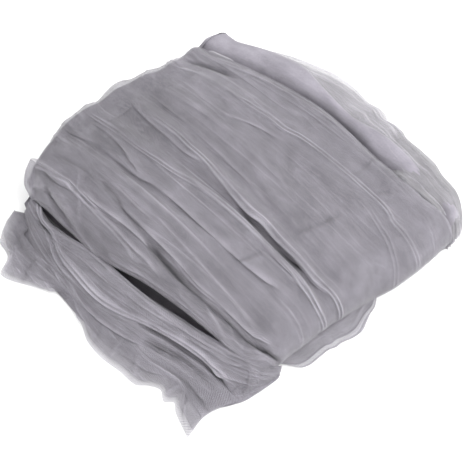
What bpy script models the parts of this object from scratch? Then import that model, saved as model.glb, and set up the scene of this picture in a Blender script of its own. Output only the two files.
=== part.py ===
"""A bed canopy net of fine tulle, taken down and folded into a loose bundle.

The net is one long gathered band. It lies on a flat surface and is folded to and fro
along X, as one closed solid of six layers with a little air between them. End A is at
low x and end B at high x. The creases run along X, from end A to end B.
Lengths in the tables are in millimetres, measured on the bundle as it lies.
"""

import math

import bmesh
import bpy

MM = 0.001

# Layers of the band, from the surface upward.
BASE, SECOND, THIRD, FOURTH, FIFTH, COVER = range(6)

# Full thickness of each layer, then how far from its left and from its right edge it
# reaches that.
LAYERS = {
    BASE: (10.0, 20.0, 12.0),
    SECOND: (9.0, 22.0, 13.0),
    THIRD: (9.0, 20.0, 14.0),
    FOURTH: (14.0, 72.0, 16.0),
    FIFTH: (15.0, 62.0, 30.0),
    COVER: (13.0, 26.0, 14.0),
}
EDGE_THICK = 2.0
FLAP_THICK = 2.5
AIR = 2.5
SLOT_AIR = 3.0
SLOT_REACH = 48.0
FADE_OUT = 10.0
PUFF_GAIN = 0.6
PUFF_WIDTH = 30.0

# The outline at stations along X. Share is the height there against the full height.
# The lip is the cover's front-left edge, over the slot, and the shelf is how far the
# slot's floor reaches out past it. The band is the second layer's edge, the foot is
# where the base layer thins out, and the flap is the base layer's edge. Slot is how much
# wider the slot under the lip opens at its mouth.
STATION_COLUMNS = (
    "x", "share", "lip", "shelf", "band", "foot", "flap", "cover_right", "puff_right", "slot"
)
STATIONS = (
    (28.0, 0.86, -120.0, 2.0, -140.0, -155.0, -174.0, 152.0, 224.0, 2.0),
    (55.0, 0.92, -131.0, 2.0, -149.0, -166.0, -196.0, 158.0, 236.0, 4.0),
    (80.0, 0.96, -137.0, 3.0, -155.0, -170.0, -211.0, 162.0, 247.0, 7.0),
    (118.0, 1.00, -138.5, 2.0, -160.0, -173.0, -195.0, 168.0, 261.0, 6.0),
    (152.0, 1.00, -136.0, 2.0, -163.0, -173.5, -180.0, 173.0, 264.0, 4.0),
    (191.0, 1.00, -130.0, 4.0, -164.0, -173.0, -188.0, 177.0, 263.0, 7.0),
    (233.0, 0.99, -122.5, 10.0, -160.0, -167.0, -194.0, 174.0, 257.0, 13.0),
    (280.0, 0.94, -115.0, 10.0, -148.0, -154.0, -188.0, 168.0, 249.0, 13.0),
    (322.0, 0.84, -109.0, 6.0, -136.0, -144.0, -172.0, 169.5, 238.0, 9.0),
    (345.0, 0.77, -105.0, 3.0, -130.0, -139.0, -180.0, 170.0, 231.0, 5.0),
    (360.0, 0.72, -100.0, 3.0, -125.0, -131.0, -190.0, 170.0, 226.0, 2.0),
)

# How far the upper layers' edges lie inside the lip and inside the puffed outer edge.
LEFT_INSIDE_LIP = {FOURTH: 11.0, FIFTH: 8.0, COVER: 0.0}
RIGHT_INSIDE_PUFF = {BASE: 13.0, SECOND: 5.0, THIRD: 8.0, FOURTH: 5.0, FIFTH: 0.0}

# The hidden edges wander a little, each layer's in its own phase.
EDGE_RIPPLE = 3.0
EDGE_RIPPLE_LENGTH = 130.0
END_RIPPLE_LENGTH = 170.0
LAYER_PHASE = 0.37

# The two ends of the bundle seen from above, as x at places across it.
END_COLUMNS = ("y", "end_a", "end_b")
ENDS = (
    (-215.0, 30.0, 380.0),
    (-186.0, 27.0, 381.0),
    (-150.0, 24.0, 379.0),
    (-124.0, 22.0, 382.0),
    (-100.0, 20.0, 386.0),
    (-50.0, 7.0, 389.0),
    (0.0, 3.0, 391.0),
    (50.0, 0.0, 397.0),
    (92.0, 7.0, 404.0),
    (137.0, 2.0, 404.0),
    (182.0, -9.0, 400.0),
    (215.0, 4.0, 392.0),
    (265.0, 28.0, 377.0),
)
UPPER_FOLD_INSET = 0.0
LOWER_FOLD_INSET = 9.0
FREE_END_INSET = {BASE: 16.0, FOURTH: 14.0}

# The toe is a small pleat that lies out from under the outer turn at end B: how far it
# reaches at places across the band, and its share of the way up the turn.
TOE_COLUMNS = ("y", "reach")
TOE = (
    (-72.0, 0.0),
    (-61.0, 17.0),
    (-50.0, 30.0),
    (-20.0, 33.0),
    (20.0, 36.0),
    (45.0, 25.0),
    (60.0, 18.0),
    (78.0, 0.0),
)
TOE_SHARE = 0.13

# The left edge of the outer turn at end B, by share of the way from base to cover.
OUTER_TURN_COLUMNS = ("share", "left")
OUTER_TURN_LEFT = (
    (0.0, -190.0),
    (0.08, -152.0),
    (0.2, -128.0),
    (0.4, -118.0),
    (0.6, -112.0),
    (0.8, -105.0),
    (1.0, -100.0),
)

# The main folds of the cover: where each line lies across the band at end A, halfway
# and at end B, and how far it rises or sinks there.
FOLD_STATIONS = (28.0, 190.0, 360.0)
FOLD_COLUMNS = ("name", "y", "rise")
FOLDS = (
    ("lip_roll", (-112.0, -116.0, -92.0), (0.5, 1.0, 0.5)),
    ("upper_slot", (-103.0, -99.0, -84.0), (-0.5, -3.0, -4.0)),
    ("broad_ridge", (-90.0, -66.0, -62.0), (1.5, 2.5, 2.0)),
    ("broad_hollow", (-66.0, -51.0, -42.0), (-1.5, -2.0, -1.5)),
    ("fading_ridge", (-46.0, -37.0, -29.0), (1.5, 1.5, 0.0)),
    ("long_ridge_left", (-26.0, -18.0, -15.0), (2.0, 3.0, 3.0)),
    ("middle_hollow", (-4.0, -5.0, -8.0), (-1.5, -2.0, -1.0)),
    ("long_ridge_right", (22.0, 8.0, 0.0), (2.5, 4.5, 3.5)),
    ("long_hollow", (44.0, 28.0, 16.0), (-2.0, -3.0, -2.0)),
    ("wide_swell", (66.0, 62.0, 46.0), (1.0, 1.0, 0.5)),
    ("shallow_dip", (84.0, 90.0, 76.0), (-1.0, -1.0, -1.5)),
    ("right_ridge", (98.0, 112.0, 98.0), (1.5, 2.5, 2.5)),
    ("edge_dip", (122.0, 140.0, 134.0), (-1.0, -1.5, -1.0)),
    ("edge_roll", (140.0, 160.0, 155.0), (1.0, 1.5, 1.0)),
)
STEPS_BETWEEN_FOLDS = 2

# Rows of points along each layer and round each turn.
LAYER_ROWS = {BASE: 11, SECOND: 6, THIRD: 6, FOURTH: 6, FIFTH: 7, COVER: 13}
OUTER_TURN_ROWS = 8
MIDDLE_TURN_ROWS = 5
INNER_TURN_ROWS = 3
SMALL_FOLD_ROWS = 3
FREE_END_TAPER = 0.35
FREE_END_LENGTH = 12.0

TULLE_COLOUR = (0.31, 0.30, 0.33, 1.0)
TULLE_ROUGHNESS = 0.85


def clear_scene():
    """Remove what the new file starts with."""
    for item in list(bpy.data.objects):
        bpy.data.objects.remove(item, do_unlink=True)


def smooth(start, stop, value):
    """Rise softly from 0 at start to 1 at stop."""
    t = min(max((value - start) / (stop - start), 0.0), 1.0)
    return t * t * (3.0 - 2.0 * t)


def curve_value(places, values, where):
    """Read a smooth curve through the values at the given places."""
    where = min(max(where, places[0]), places[-1])
    last = len(places) - 1
    i = 0
    while i < last - 1 and where > places[i + 1]:
        i += 1
    slopes = []
    for k in (i, i + 1):
        before = max(k - 1, 0)
        after = min(k + 1, last)
        slopes.append((values[after] - values[before]) / (places[after] - places[before]))
    span = places[i + 1] - places[i]
    t = (where - places[i]) / span
    start_part = values[i] * (1.0 + 2.0 * t) * (1.0 - t) ** 2
    stop_part = values[i + 1] * t * t * (3.0 - 2.0 * t)
    slope_part = span * (slopes[0] * t * (1.0 - t) ** 2 - slopes[1] * t * t * (1.0 - t))
    return start_part + stop_part + slope_part


def table_column(rows, columns, name):
    """Pick one named column out of a table."""
    position = columns.index(name)
    return [row[position] for row in rows]


STATION_X = table_column(STATIONS, STATION_COLUMNS, "x")
STATION_VALUES = {name: table_column(STATIONS, STATION_COLUMNS, name) for name in STATION_COLUMNS}
END_Y = table_column(ENDS, END_COLUMNS, "y")
END_VALUES = {name: table_column(ENDS, END_COLUMNS, name) for name in END_COLUMNS}
BAND_START = STATION_X[0]
BAND_END = STATION_X[-1]


def station(name, x):
    """Read one column of the outline at x."""
    return curve_value(STATION_X, STATION_VALUES[name], x)


def ripple(layer, place, length):
    """A small wander of a hidden edge."""
    return EDGE_RIPPLE * math.sin(2.0 * math.pi * (place / length + LAYER_PHASE * layer))


def left_edge(layer, x):
    """y of a layer's front-left edge."""
    if layer == BASE:
        return station("flap", x)
    if layer == SECOND:
        return station("band", x)
    if layer == THIRD:
        return station("lip", x) - station("shelf", x)
    return station("lip", x) + LEFT_INSIDE_LIP[layer]


def right_edge(layer, x):
    """y of a layer's back-right edge."""
    if layer == COVER:
        return station("cover_right", x)
    inside = RIGHT_INSIDE_PUFF[layer] + ripple(layer, x, EDGE_RIPPLE_LENGTH)
    return station("puff_right", x) - inside


def edge_rise(distance, slope):
    """Swell from an edge to the full thickness over the slope's length."""
    return math.sin(0.5 * math.pi * min(max(distance / slope, 0.0), 1.0))


def thickness(layer, x, y):
    """Thickness of a layer, which fades to nothing just past its edges."""
    full, left_slope, right_slope = LAYERS[layer]
    full *= station("share", x)
    from_left = y - left_edge(layer, x)
    from_right = right_edge(layer, x) - y
    inside = min(from_left, from_right)
    present = smooth(-FADE_OUT, 0.0, inside)
    if layer == FIFTH:
        beyond = y - station("cover_right", x)
        full *= 1.0 + PUFF_GAIN * smooth(-5.0, PUFF_WIDTH, beyond)
    if layer == BASE:
        from_foot = y - station("foot", x)
        swell = edge_rise(from_foot, left_slope) * edge_rise(from_right, right_slope)
        return (FLAP_THICK + (full - FLAP_THICK) * swell) * present, present
    swell = edge_rise(from_left, left_slope) * edge_rise(from_right, right_slope)
    return (EDGE_THICK + (full - EDGE_THICK) * swell) * present, present


def air_above(layer, x, y):
    """Air between a layer and the next, wide at the mouth of the slot."""
    if layer != THIRD:
        return AIR
    from_lip = y - station("lip", x)
    return SLOT_AIR + station("slot", x) * (1.0 - smooth(0.0, SLOT_REACH, from_lip))


def fold_rise(x, y):
    """Height of the cover's folds at a place, from the lines of the fold table."""
    lines = fold_lines(x)
    for (y0, rise0), (y1, rise1) in zip(lines, lines[1:]):
        if y <= y1:
            return rise0 + (rise1 - rise0) * smooth(y0, y1, y)
    return 0.0


def fold_lines(x):
    """Where each fold line crosses x, with the cover's edges at the two sides."""
    lines = [(station("lip", x), 0.0)]
    places = table_column(FOLDS, FOLD_COLUMNS, "y")
    rises = table_column(FOLDS, FOLD_COLUMNS, "rise")
    for fold_places, fold_rises in zip(places, rises):
        y = curve_value(FOLD_STATIONS, fold_places, x)
        lines.append((y, curve_value(FOLD_STATIONS, fold_rises, x)))
    lines.append((station("cover_right", x), 0.0))
    return lines


def stack(x, y):
    """Underside and top of every layer at a place, in millimetres."""
    levels = []
    z = 0.0
    for layer in LAYERS:
        thick, present = thickness(layer, x, y)
        top = z + thick
        if layer == COVER:
            top += fold_rise(x, y) * present
        levels.append((z, top))
        z = top + air_above(layer, x, y) * present
    return levels


def end_a(y, inset):
    """x of the bundle's end A at y, moved inward."""
    return curve_value(END_Y, END_VALUES["end_a"], y) + inset


def turn_centre(y):
    """Where the turns at end B begin, so that the outermost reaches the outline."""
    nose = curve_value(END_Y, END_VALUES["end_b"], y)
    top = stack(BAND_END, y)[COVER][1]
    return nose - 0.5 * top


def fold_centre(y, lower, upper, inset):
    """Where a small fold at end A begins."""
    levels = stack(BAND_START, y)
    radius = 0.5 * (levels[upper][1] - levels[lower][0])
    return end_a(y, inset) + radius


def layer_start(layer, y):
    """x at which a layer begins at end A."""
    if layer in FREE_END_INSET:
        return end_a(y, FREE_END_INSET[layer] + ripple(layer, y, END_RIPPLE_LENGTH))
    if layer in (COVER, FIFTH):
        return fold_centre(y, FIFTH, COVER, UPPER_FOLD_INSET)
    return fold_centre(y, SECOND, THIRD, LOWER_FOLD_INSET)


def even_shares():
    """Shares of the width for each column of points, closer together at the edges."""
    count = STEPS_BETWEEN_FOLDS * (len(FOLDS) + 1) + 1
    shares = []
    for i in range(count):
        t = i / (count - 1)
        shares.append(t - 0.06 * math.sin(2.0 * math.pi * t))
    return shares


def cover_places(x):
    """y of each column on the cover, which follow its fold lines."""
    lines = [y for y, _ in fold_lines(x)]
    places = [lines[0]]
    for y0, y1 in zip(lines, lines[1:]):
        for step in range(1, STEPS_BETWEEN_FOLDS + 1):
            places.append(y0 + (y1 - y0) * step / STEPS_BETWEEN_FOLDS)
    return places


def layer_places(layer, x):
    """y of each column of points on a layer."""
    if layer == COVER:
        return cover_places(x)
    left = left_edge(layer, x)
    width = right_edge(layer, x) - left
    return [left + width * share for share in EVEN_SHARES]


EVEN_SHARES = even_shares()


def sides(layer, levels):
    """The band's first and second face on a layer: which of them is up changes at each turn."""
    bottom, top = levels[layer]
    if layer in (BASE, FIFTH, THIRD):
        return bottom, top
    return top, bottom


def layer_row(layer, u, taper=1.0):
    """One row of points across a layer, at a share u of the way from end A to end B."""
    first = []
    second = []
    for y in layer_places(layer, BAND_START + u * (BAND_END - BAND_START)):
        start = layer_start(layer, y)
        x = start + u * (turn_centre(y) - start)
        level_x = x if u < 1.0 else BAND_END
        face_one, face_two = sides(layer, stack(level_x, y))
        if taper < 1.0:
            if layer == BASE:
                face_two *= taper
            else:
                face_one = face_two + (face_one - face_two) * taper
        first.append((x, y, face_one))
        second.append((x, y, face_two))
    return first, second


def layer_rows(layer, to_end_b, free_start=False, free_stop=False):
    """All rows along a layer, in the order in which the band runs."""
    count = LAYER_ROWS[layer]
    rows = []
    shares = [i / (count - 1) for i in range(count)]
    if free_start or free_stop:
        rows.append(layer_row(layer, 0.0, FREE_END_TAPER))
        shares[0] = FREE_END_LENGTH / BAND_END
    rows.extend(layer_row(layer, u) for u in shares)
    if not to_end_b:
        rows.reverse()
    return rows


def turn_rows(start_layer, stop_layer, count, at_end_b):
    """Rows round a turn, from one layer to the next, as half ellipses in each slice of y."""
    nominal = BAND_END if at_end_b else BAND_START
    start_places = layer_places(start_layer, nominal)
    stop_places = layer_places(stop_layer, nominal)
    outward = 1.0 if at_end_b else -1.0
    rows = []
    for step in range(1, count + 1):
        share = step / (count + 1)
        angle = math.pi * share
        first = []
        second = []
        for place, (y0, y1) in enumerate(zip(start_places, stop_places)):
            y = y0 + (y1 - y0) * smooth(0.0, 1.0, share)
            if (start_layer, stop_layer) == (BASE, COVER):
                y = outer_turn_place(share, place, start_places, stop_places)
            if at_end_b:
                centre = turn_centre(y)
                levels = stack(BAND_END, y)
            else:
                centre = layer_start(start_layer, y)
                levels = stack(centre, y)
            for face, points in enumerate((first, second)):
                z0 = sides(start_layer, levels)[face]
                z1 = sides(stop_layer, levels)[face]
                radius = 0.5 * abs(z1 - z0)
                x = centre + outward * radius * math.sin(angle)
                if face == 0 and (start_layer, stop_layer) == (BASE, COVER):
                    x += toe_reach(share, y)
                z = 0.5 * (z0 + z1) + 0.5 * (z0 - z1) * math.cos(angle)
                points.append((x, y, z))
        rows.append((first, second))
    return rows


def toe_reach(share, y):
    """How far the toe lies out past the outer turn, on the turn's outer face."""
    low = 1.0 - smooth(0.0, TOE_SHARE, abs(share - TOE_SHARE))
    toe_y = table_column(TOE, TOE_COLUMNS, "y")
    return low * curve_value(toe_y, table_column(TOE, TOE_COLUMNS, "reach"), y)


def outer_turn_place(share, place, start_places, stop_places):
    """y of a column on the outer turn, whose left edge draws in from the flap to the lip."""
    turn_share = table_column(OUTER_TURN_LEFT, OUTER_TURN_COLUMNS, "share")
    turn_left = table_column(OUTER_TURN_LEFT, OUTER_TURN_COLUMNS, "left")
    left = curve_value(turn_share, turn_left, share)
    blend = smooth(0.0, 0.6, share)
    right = start_places[-1] + (stop_places[-1] - start_places[-1]) * blend
    cover_share = (stop_places[place] - stop_places[0]) / (stop_places[-1] - stop_places[0])
    across = EVEN_SHARES[place] + (cover_share - EVEN_SHARES[place]) * blend
    return left + (right - left) * across


def band_rows():
    """Every row of the band, from its free end under the bundle to the one inside it."""
    rows = layer_rows(BASE, True, free_start=True)
    rows += turn_rows(BASE, COVER, OUTER_TURN_ROWS, True)
    rows += layer_rows(COVER, False)
    rows += turn_rows(COVER, FIFTH, SMALL_FOLD_ROWS, False)
    rows += layer_rows(FIFTH, True)
    rows += turn_rows(FIFTH, SECOND, MIDDLE_TURN_ROWS, True)
    rows += layer_rows(SECOND, False)
    rows += turn_rows(SECOND, THIRD, SMALL_FOLD_ROWS, False)
    rows += layer_rows(THIRD, True)
    rows += turn_rows(THIRD, FOURTH, INNER_TURN_ROWS, True)
    rows += layer_rows(FOURTH, False, free_stop=True)
    return rows


def build_net():
    """Join the rows into one closed body and centre it over the origin."""
    loops = [first + second[::-1] for first, second in band_rows()]
    points = [point for loop in loops for point in loop]
    centre_x = 0.5 * (min(p[0] for p in points) + max(p[0] for p in points))
    centre_y = 0.5 * (min(p[1] for p in points) + max(p[1] for p in points))
    body = bmesh.new()
    grid = []
    for loop in loops:
        ring = []
        for x, y, z in loop:
            place = ((x - centre_x) * MM, (y - centre_y) * MM, z * MM)
            ring.append(body.verts.new(place))
        grid.append(ring)
    size = len(grid[0])
    for ring, following in zip(grid, grid[1:]):
        for i in range(size):
            j = (i + 1) % size
            body.faces.new((ring[i], following[i], following[j], ring[j]))
    for ring in (grid[0], grid[-1]):
        for i in range(size // 2 - 1):
            other = size - 1 - i
            body.faces.new((ring[i], ring[i + 1], ring[other - 1], ring[other]))
    bmesh.ops.recalc_face_normals(body, faces=body.faces)
    if body.calc_volume(signed=True) < 0.0:
        bmesh.ops.reverse_faces(body, faces=body.faces)
    bmesh.ops.triangulate(body, faces=body.faces, quad_method="SHORT_EDGE")
    mesh = bpy.data.meshes.new("net")
    body.to_mesh(mesh)
    body.free()
    mesh.shade_smooth()
    net = bpy.data.objects.new("net", mesh)
    bpy.context.scene.collection.objects.link(net)
    return net


def tulle_material():
    """Matt grey tulle."""
    material = bpy.data.materials.new("grey_tulle")
    material.use_nodes = True
    surface = material.node_tree.nodes["Principled BSDF"]
    surface.inputs["Base Color"].default_value = TULLE_COLOUR
    surface.inputs["Roughness"].default_value = TULLE_ROUGHNESS
    surface.inputs["Metallic"].default_value = 0.0
    return material


clear_scene()
net_object = build_net()
net_object.data.materials.append(tulle_material())
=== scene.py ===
"""A bed canopy net of grey tulle, folded into a loose bundle on a pale floor.

The bundle is one gathered band folded to and fro along X. Its opaque heart is the band
with all its layers. Dense cloths and sheer plies of the same tulle lie over it, with
listed creases and small leaning pleats.
Tables are in millimetres, in the bundle's own places: x from end A at the back to end B
at the front, y across the creases, and z up from the floor.
"""

import math

import bpy
import numpy as np
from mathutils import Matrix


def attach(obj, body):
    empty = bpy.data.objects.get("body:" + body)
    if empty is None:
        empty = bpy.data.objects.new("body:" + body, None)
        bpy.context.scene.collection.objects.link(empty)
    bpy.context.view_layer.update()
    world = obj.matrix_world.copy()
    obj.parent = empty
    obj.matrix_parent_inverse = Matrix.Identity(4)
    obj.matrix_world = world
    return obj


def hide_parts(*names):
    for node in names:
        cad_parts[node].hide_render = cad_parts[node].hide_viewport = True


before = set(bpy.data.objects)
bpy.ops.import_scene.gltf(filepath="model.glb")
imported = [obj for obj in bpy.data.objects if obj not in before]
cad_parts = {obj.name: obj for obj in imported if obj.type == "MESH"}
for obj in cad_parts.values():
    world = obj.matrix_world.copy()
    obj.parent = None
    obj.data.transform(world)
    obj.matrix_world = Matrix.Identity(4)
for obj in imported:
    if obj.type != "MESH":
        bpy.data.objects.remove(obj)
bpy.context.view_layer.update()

MM = 0.001

# Where the origin lies in the tables' places.
CENTRE_X = 198.70
CENTRE_Y = 28.62

# Camera, set to the photograph's frame and angle.
CAMERA_AZIMUTH = 48.0
CAMERA_ELEVATION = 50.0
CAMERA_DISTANCE = 1.0
CAMERA_LENS = 70.0
CAMERA_SENSOR = 36.0
CAMERA_AIM = (240.4, 0.0, 28.8)


def make_camera():
    """Look along the folds from above the front corner."""
    azimuth = math.radians(CAMERA_AZIMUTH)
    elevation = math.radians(CAMERA_ELEVATION)
    aim = np.array([CAMERA_AIM[0] - CENTRE_X, CAMERA_AIM[1] - CENTRE_Y, CAMERA_AIM[2]]) * MM
    back = np.array([
        math.sin(azimuth) * math.cos(elevation),
        -math.cos(azimuth) * math.cos(elevation),
        math.sin(elevation),
    ])
    data = bpy.data.cameras.new("camera")
    data.lens = CAMERA_LENS
    data.sensor_width = CAMERA_SENSOR
    camera = bpy.data.objects.new("camera", data)
    camera.location = aim + back * CAMERA_DISTANCE
    camera.rotation_euler = (math.pi / 2.0 - elevation, 0.0, azimuth)
    bpy.context.scene.collection.objects.link(camera)
    bpy.context.scene.camera = camera


make_camera()

# The layers of the band, from the surface upward, and their thickness and side slopes.
BASE, SECOND, THIRD, FOURTH, FIFTH, COVER = range(6)
LAYERS = {
    BASE: (10.0, 20.0, 12.0),
    SECOND: (9.0, 22.0, 13.0),
    THIRD: (9.0, 20.0, 14.0),
    FOURTH: (14.0, 72.0, 16.0),
    FIFTH: (15.0, 62.0, 30.0),
    COVER: (13.0, 26.0, 14.0),
}
EDGE_THICK = 2.0
FLAP_THICK = 2.5
FLAP_ROOT = 7.0
AIR = 2.5
SLOT_AIR = 3.0
SLOT_REACH = 48.0
FADE_OUT = 10.0
PUFF_GAIN = 0.6
PUFF_WIDTH = 30.0
PUFF_LEAD = 5.0

STATION_COLUMNS = (
    "x", "share", "lip", "shelf", "band", "foot", "flap", "cover_right", "puff_right", "slot"
)
STATIONS = np.array((
    (28.0, 0.86, -120.0, 2.0, -140.0, -155.0, -174.0, 152.0, 224.0, 2.0),
    (55.0, 0.92, -131.0, 2.0, -149.0, -166.0, -196.0, 158.0, 236.0, 4.0),
    (80.0, 0.96, -132.0, 3.0, -155.0, -170.0, -211.0, 162.0, 247.0, 7.0),
    (118.0, 1.00, -131.0, 2.0, -160.0, -173.0, -195.0, 168.0, 261.0, 6.0),
    (152.0, 1.00, -129.5, 2.0, -163.0, -173.5, -180.0, 173.0, 264.0, 4.0),
    (191.0, 1.00, -125.0, 4.0, -164.0, -173.0, -188.0, 177.0, 263.0, 7.0),
    (233.0, 0.99, -118.0, 10.0, -160.0, -167.0, -194.0, 174.0, 257.0, 13.0),
    (280.0, 0.94, -109.5, 10.0, -148.0, -154.0, -188.0, 168.0, 249.0, 13.0),
    (322.0, 0.84, -103.0, 6.0, -136.0, -144.0, -172.0, 169.5, 238.0, 9.0),
    (345.0, 0.77, -100.5, 3.0, -130.0, -139.0, -180.0, 170.0, 231.0, 5.0),
    (360.0, 0.72, -100.0, 3.0, -125.0, -131.0, -190.0, 170.0, 226.0, 2.0),
))
BAND_START = STATIONS[0][0]
BAND_END = STATIONS[-1][0]
LEFT_INSIDE_LIP = {FOURTH: 11.0, FIFTH: 8.0, COVER: 0.0}
RIGHT_INSIDE_PUFF = {BASE: 13.0, SECOND: 5.0, THIRD: 8.0, FOURTH: 5.0, FIFTH: 0.0}
# The outermost part of the puffed fold is sheer plies alone.
SHEER_PLACES = (28.0, 80.0, 140.0, 180.0, 225.0, 260.0, 300.0, 360.0)
SHEER_RIM = (6.0, 14.0, 28.0, 38.0, 40.0, 30.0, 20.0, 12.0)
EDGE_RIPPLE = 3.0
EDGE_RIPPLE_LENGTH = 130.0
END_RIPPLE_LENGTH = 170.0
LAYER_PHASE = 0.37

END_COLUMNS = ("y", "end_a", "end_b")
ENDS = np.array((
    (-215.0, 30.0, 380.0),
    (-186.0, 27.0, 381.0),
    (-150.0, 24.0, 379.0),
    (-124.0, 22.0, 382.0),
    (-100.0, 20.0, 386.0),
    (-50.0, 7.0, 389.0),
    (0.0, 3.0, 391.0),
    (50.0, 0.0, 397.0),
    (92.0, 7.0, 404.0),
    (137.0, 2.0, 404.0),
    (182.0, -9.0, 400.0),
    (215.0, 4.0, 392.0),
    (265.0, 28.0, 377.0),
))
UPPER_FOLD_INSET = 0.0
LOWER_FOLD_INSET = 9.0
FREE_END_INSET = {BASE: 16.0, FOURTH: 14.0}
TOE_PLACES = (-72.0, -61.0, -50.0, -20.0, 20.0, 45.0, 60.0, 78.0)
TOE_REACH = (0.0, 17.0, 30.0, 33.0, 36.0, 25.0, 18.0, 0.0)
TOE_SHARE = 0.13
TOE_HEART = 0.35
OUTER_TURN_SHARE = (0.0, 0.08, 0.2, 0.4, 0.6, 0.8, 1.0)
OUTER_TURN_LEFT = (-190.0, -152.0, -128.0, -118.0, -112.0, -105.0, -100.0)
HEART_TURN_LEFT = -138.0
# Shares of the outer turn over which its right edge swings to the cover's, and over which
# the heart sinks below the cover cloth.
TURN_BLEND = (0.0, 0.6)
TURN_SINK = (0.05, 0.3)

# The gutter beside the cover's right edge.
GUTTER_PLACES = (28.0, 80.0, 130.0, 187.0, 236.0, 280.0, 297.0, 311.0, 328.0, 360.0)
GUTTER_DEPTH = (2.0, 5.0, 7.0, 15.0, 20.0, 12.0, 3.0, 8.0, 2.0, 1.0)
GUTTER_OUTWARD = 3.5
GUTTER_WIDTH = 3.0
GUTTER_LIMIT = 0.8

# The trench inside the slot, as a share of the thickness of the layers under it.
TRENCH_PLACES = (28.0, 60.0, 90.0, 120.0, 150.0, 220.0, 300.0, 345.0, 360.0)
TRENCH_DEPTH = (0.2, 0.6, 0.75, 0.75, 0.5, 0.72, 0.72, 0.6, 0.2)
TRENCH_INWARD = 3.0
TRENCH_WIDTH = 6.0
TRENCH_SLANT = 0.3

# The cover's main folds: where each line lies at end A, halfway and at end B, and how
# far it rises or sinks there.
FOLD_STATIONS = (28.0, 190.0, 360.0)
FOLDS = (
    ((-112.0, -116.0, -92.0), (0.5, 1.0, 0.5)),
    ((-103.0, -99.0, -84.0), (-0.5, -3.0, -4.0)),
    ((-90.0, -66.0, -62.0), (1.5, 2.5, 2.0)),
    ((-66.0, -51.0, -42.0), (-1.5, -2.0, -1.5)),
    ((-46.0, -37.0, -29.0), (1.5, 1.5, 0.0)),
    ((-26.0, -18.0, -15.0), (2.0, 3.0, 3.0)),
    ((-4.0, -5.0, -8.0), (-1.5, -2.0, -1.0)),
    ((22.0, 8.0, 0.0), (2.5, 4.5, 3.5)),
    ((44.0, 28.0, 16.0), (-2.0, -3.0, -2.0)),
    ((66.0, 62.0, 46.0), (1.0, 1.0, 0.5)),
    ((84.0, 90.0, 76.0), (-1.0, -1.0, -1.5)),
    ((98.0, 112.0, 98.0), (1.5, 2.5, 2.5)),
    ((122.0, 140.0, 134.0), (-1.0, -1.5, -1.0)),
    ((140.0, 160.0, 155.0), (1.0, 1.5, 1.0)),
)


def smooth(start, stop, value):
    """Rise softly from 0 at start to 1 at stop."""
    t = np.clip((np.asarray(value, float) - start) / (stop - start), 0.0, 1.0)
    return t * t * (3.0 - 2.0 * t)


def curve_value(places, values, where):
    """Read a smooth curve through the values at the given places."""
    places = np.asarray(places, float)
    values = np.asarray(values, float)
    where = np.clip(np.asarray(where, float), places[0], places[-1])
    i = np.clip(np.searchsorted(places, where, side="left") - 1, 0, len(places) - 2)
    before = np.maximum(np.arange(len(places)) - 1, 0)
    after = np.minimum(np.arange(len(places)) + 1, len(places) - 1)
    slopes = (values[after] - values[before]) / (places[after] - places[before])
    span = places[i + 1] - places[i]
    t = (where - places[i]) / span
    start_part = values[i] * (1.0 + 2.0 * t) * (1.0 - t) ** 2
    stop_part = values[i + 1] * t * t * (3.0 - 2.0 * t)
    slope_part = span * (slopes[i] * t * (1.0 - t) ** 2 - slopes[i + 1] * t * t * (1.0 - t))
    return start_part + stop_part + slope_part


def station(name, x):
    """Read one column of the outline at x."""
    return curve_value(STATIONS[:, 0], STATIONS[:, STATION_COLUMNS.index(name)], x)


def end_value(name, y):
    """Read where an end of the bundle lies at y."""
    return curve_value(ENDS[:, 0], ENDS[:, END_COLUMNS.index(name)], y)


def ripple(layer, place, length):
    """A small wander of a hidden edge."""
    return EDGE_RIPPLE * np.sin(2.0 * math.pi * (place / length + LAYER_PHASE * layer))


def left_edge(layer, x):
    """y of a layer's front-left edge. The base layer's flap is made of sheer plies."""
    if layer == BASE:
        return station("foot", x) - FLAP_ROOT
    if layer == SECOND:
        return station("band", x)
    if layer == THIRD:
        return station("lip", x) - station("shelf", x)
    return station("lip", x) + LEFT_INSIDE_LIP[layer]


def right_edge(layer, x):
    """y of a layer's back-right edge."""
    if layer == COVER:
        return station("cover_right", x)
    inside = RIGHT_INSIDE_PUFF[layer] + ripple(layer, x, EDGE_RIPPLE_LENGTH)
    return station("puff_right", x) - inside - curve_value(SHEER_PLACES, SHEER_RIM, x)


def edge_rise(distance, slope):
    """Swell from an edge to the full thickness over the slope's length."""
    return np.sin(0.5 * math.pi * np.clip(distance / slope, 0.0, 1.0))


def thickness(layer, x, y):
    """Thickness of a layer, and how far it is present just past its edges."""
    full, left_slope, right_slope = LAYERS[layer]
    full = full * station("share", x)
    from_left = y - left_edge(layer, x)
    from_right = right_edge(layer, x) - y
    present = smooth(-FADE_OUT, 0.0, np.minimum(from_left, from_right))
    if layer == FIFTH:
        full = full * (1.0 + PUFF_GAIN * smooth(-PUFF_LEAD, PUFF_WIDTH, y - station("cover_right", x)))
    if layer == BASE:
        swell = edge_rise(y - station("foot", x), left_slope) * edge_rise(from_right, right_slope)
        return (FLAP_THICK + (full - FLAP_THICK) * swell) * present, present
    swell = edge_rise(from_left, left_slope) * edge_rise(from_right, right_slope)
    return (EDGE_THICK + (full - EDGE_THICK) * swell) * present, present


def trench(x, y):
    """How far the layers under the slot sink behind their front roll, from 0 to 1."""
    depth = curve_value(TRENCH_PLACES, TRENCH_DEPTH, x)
    from_middle = (y - station("lip", x) - TRENCH_INWARD) / TRENCH_WIDTH
    return depth * np.exp(-np.where(from_middle < 0.0, from_middle, TRENCH_SLANT * from_middle) ** 2)


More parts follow.
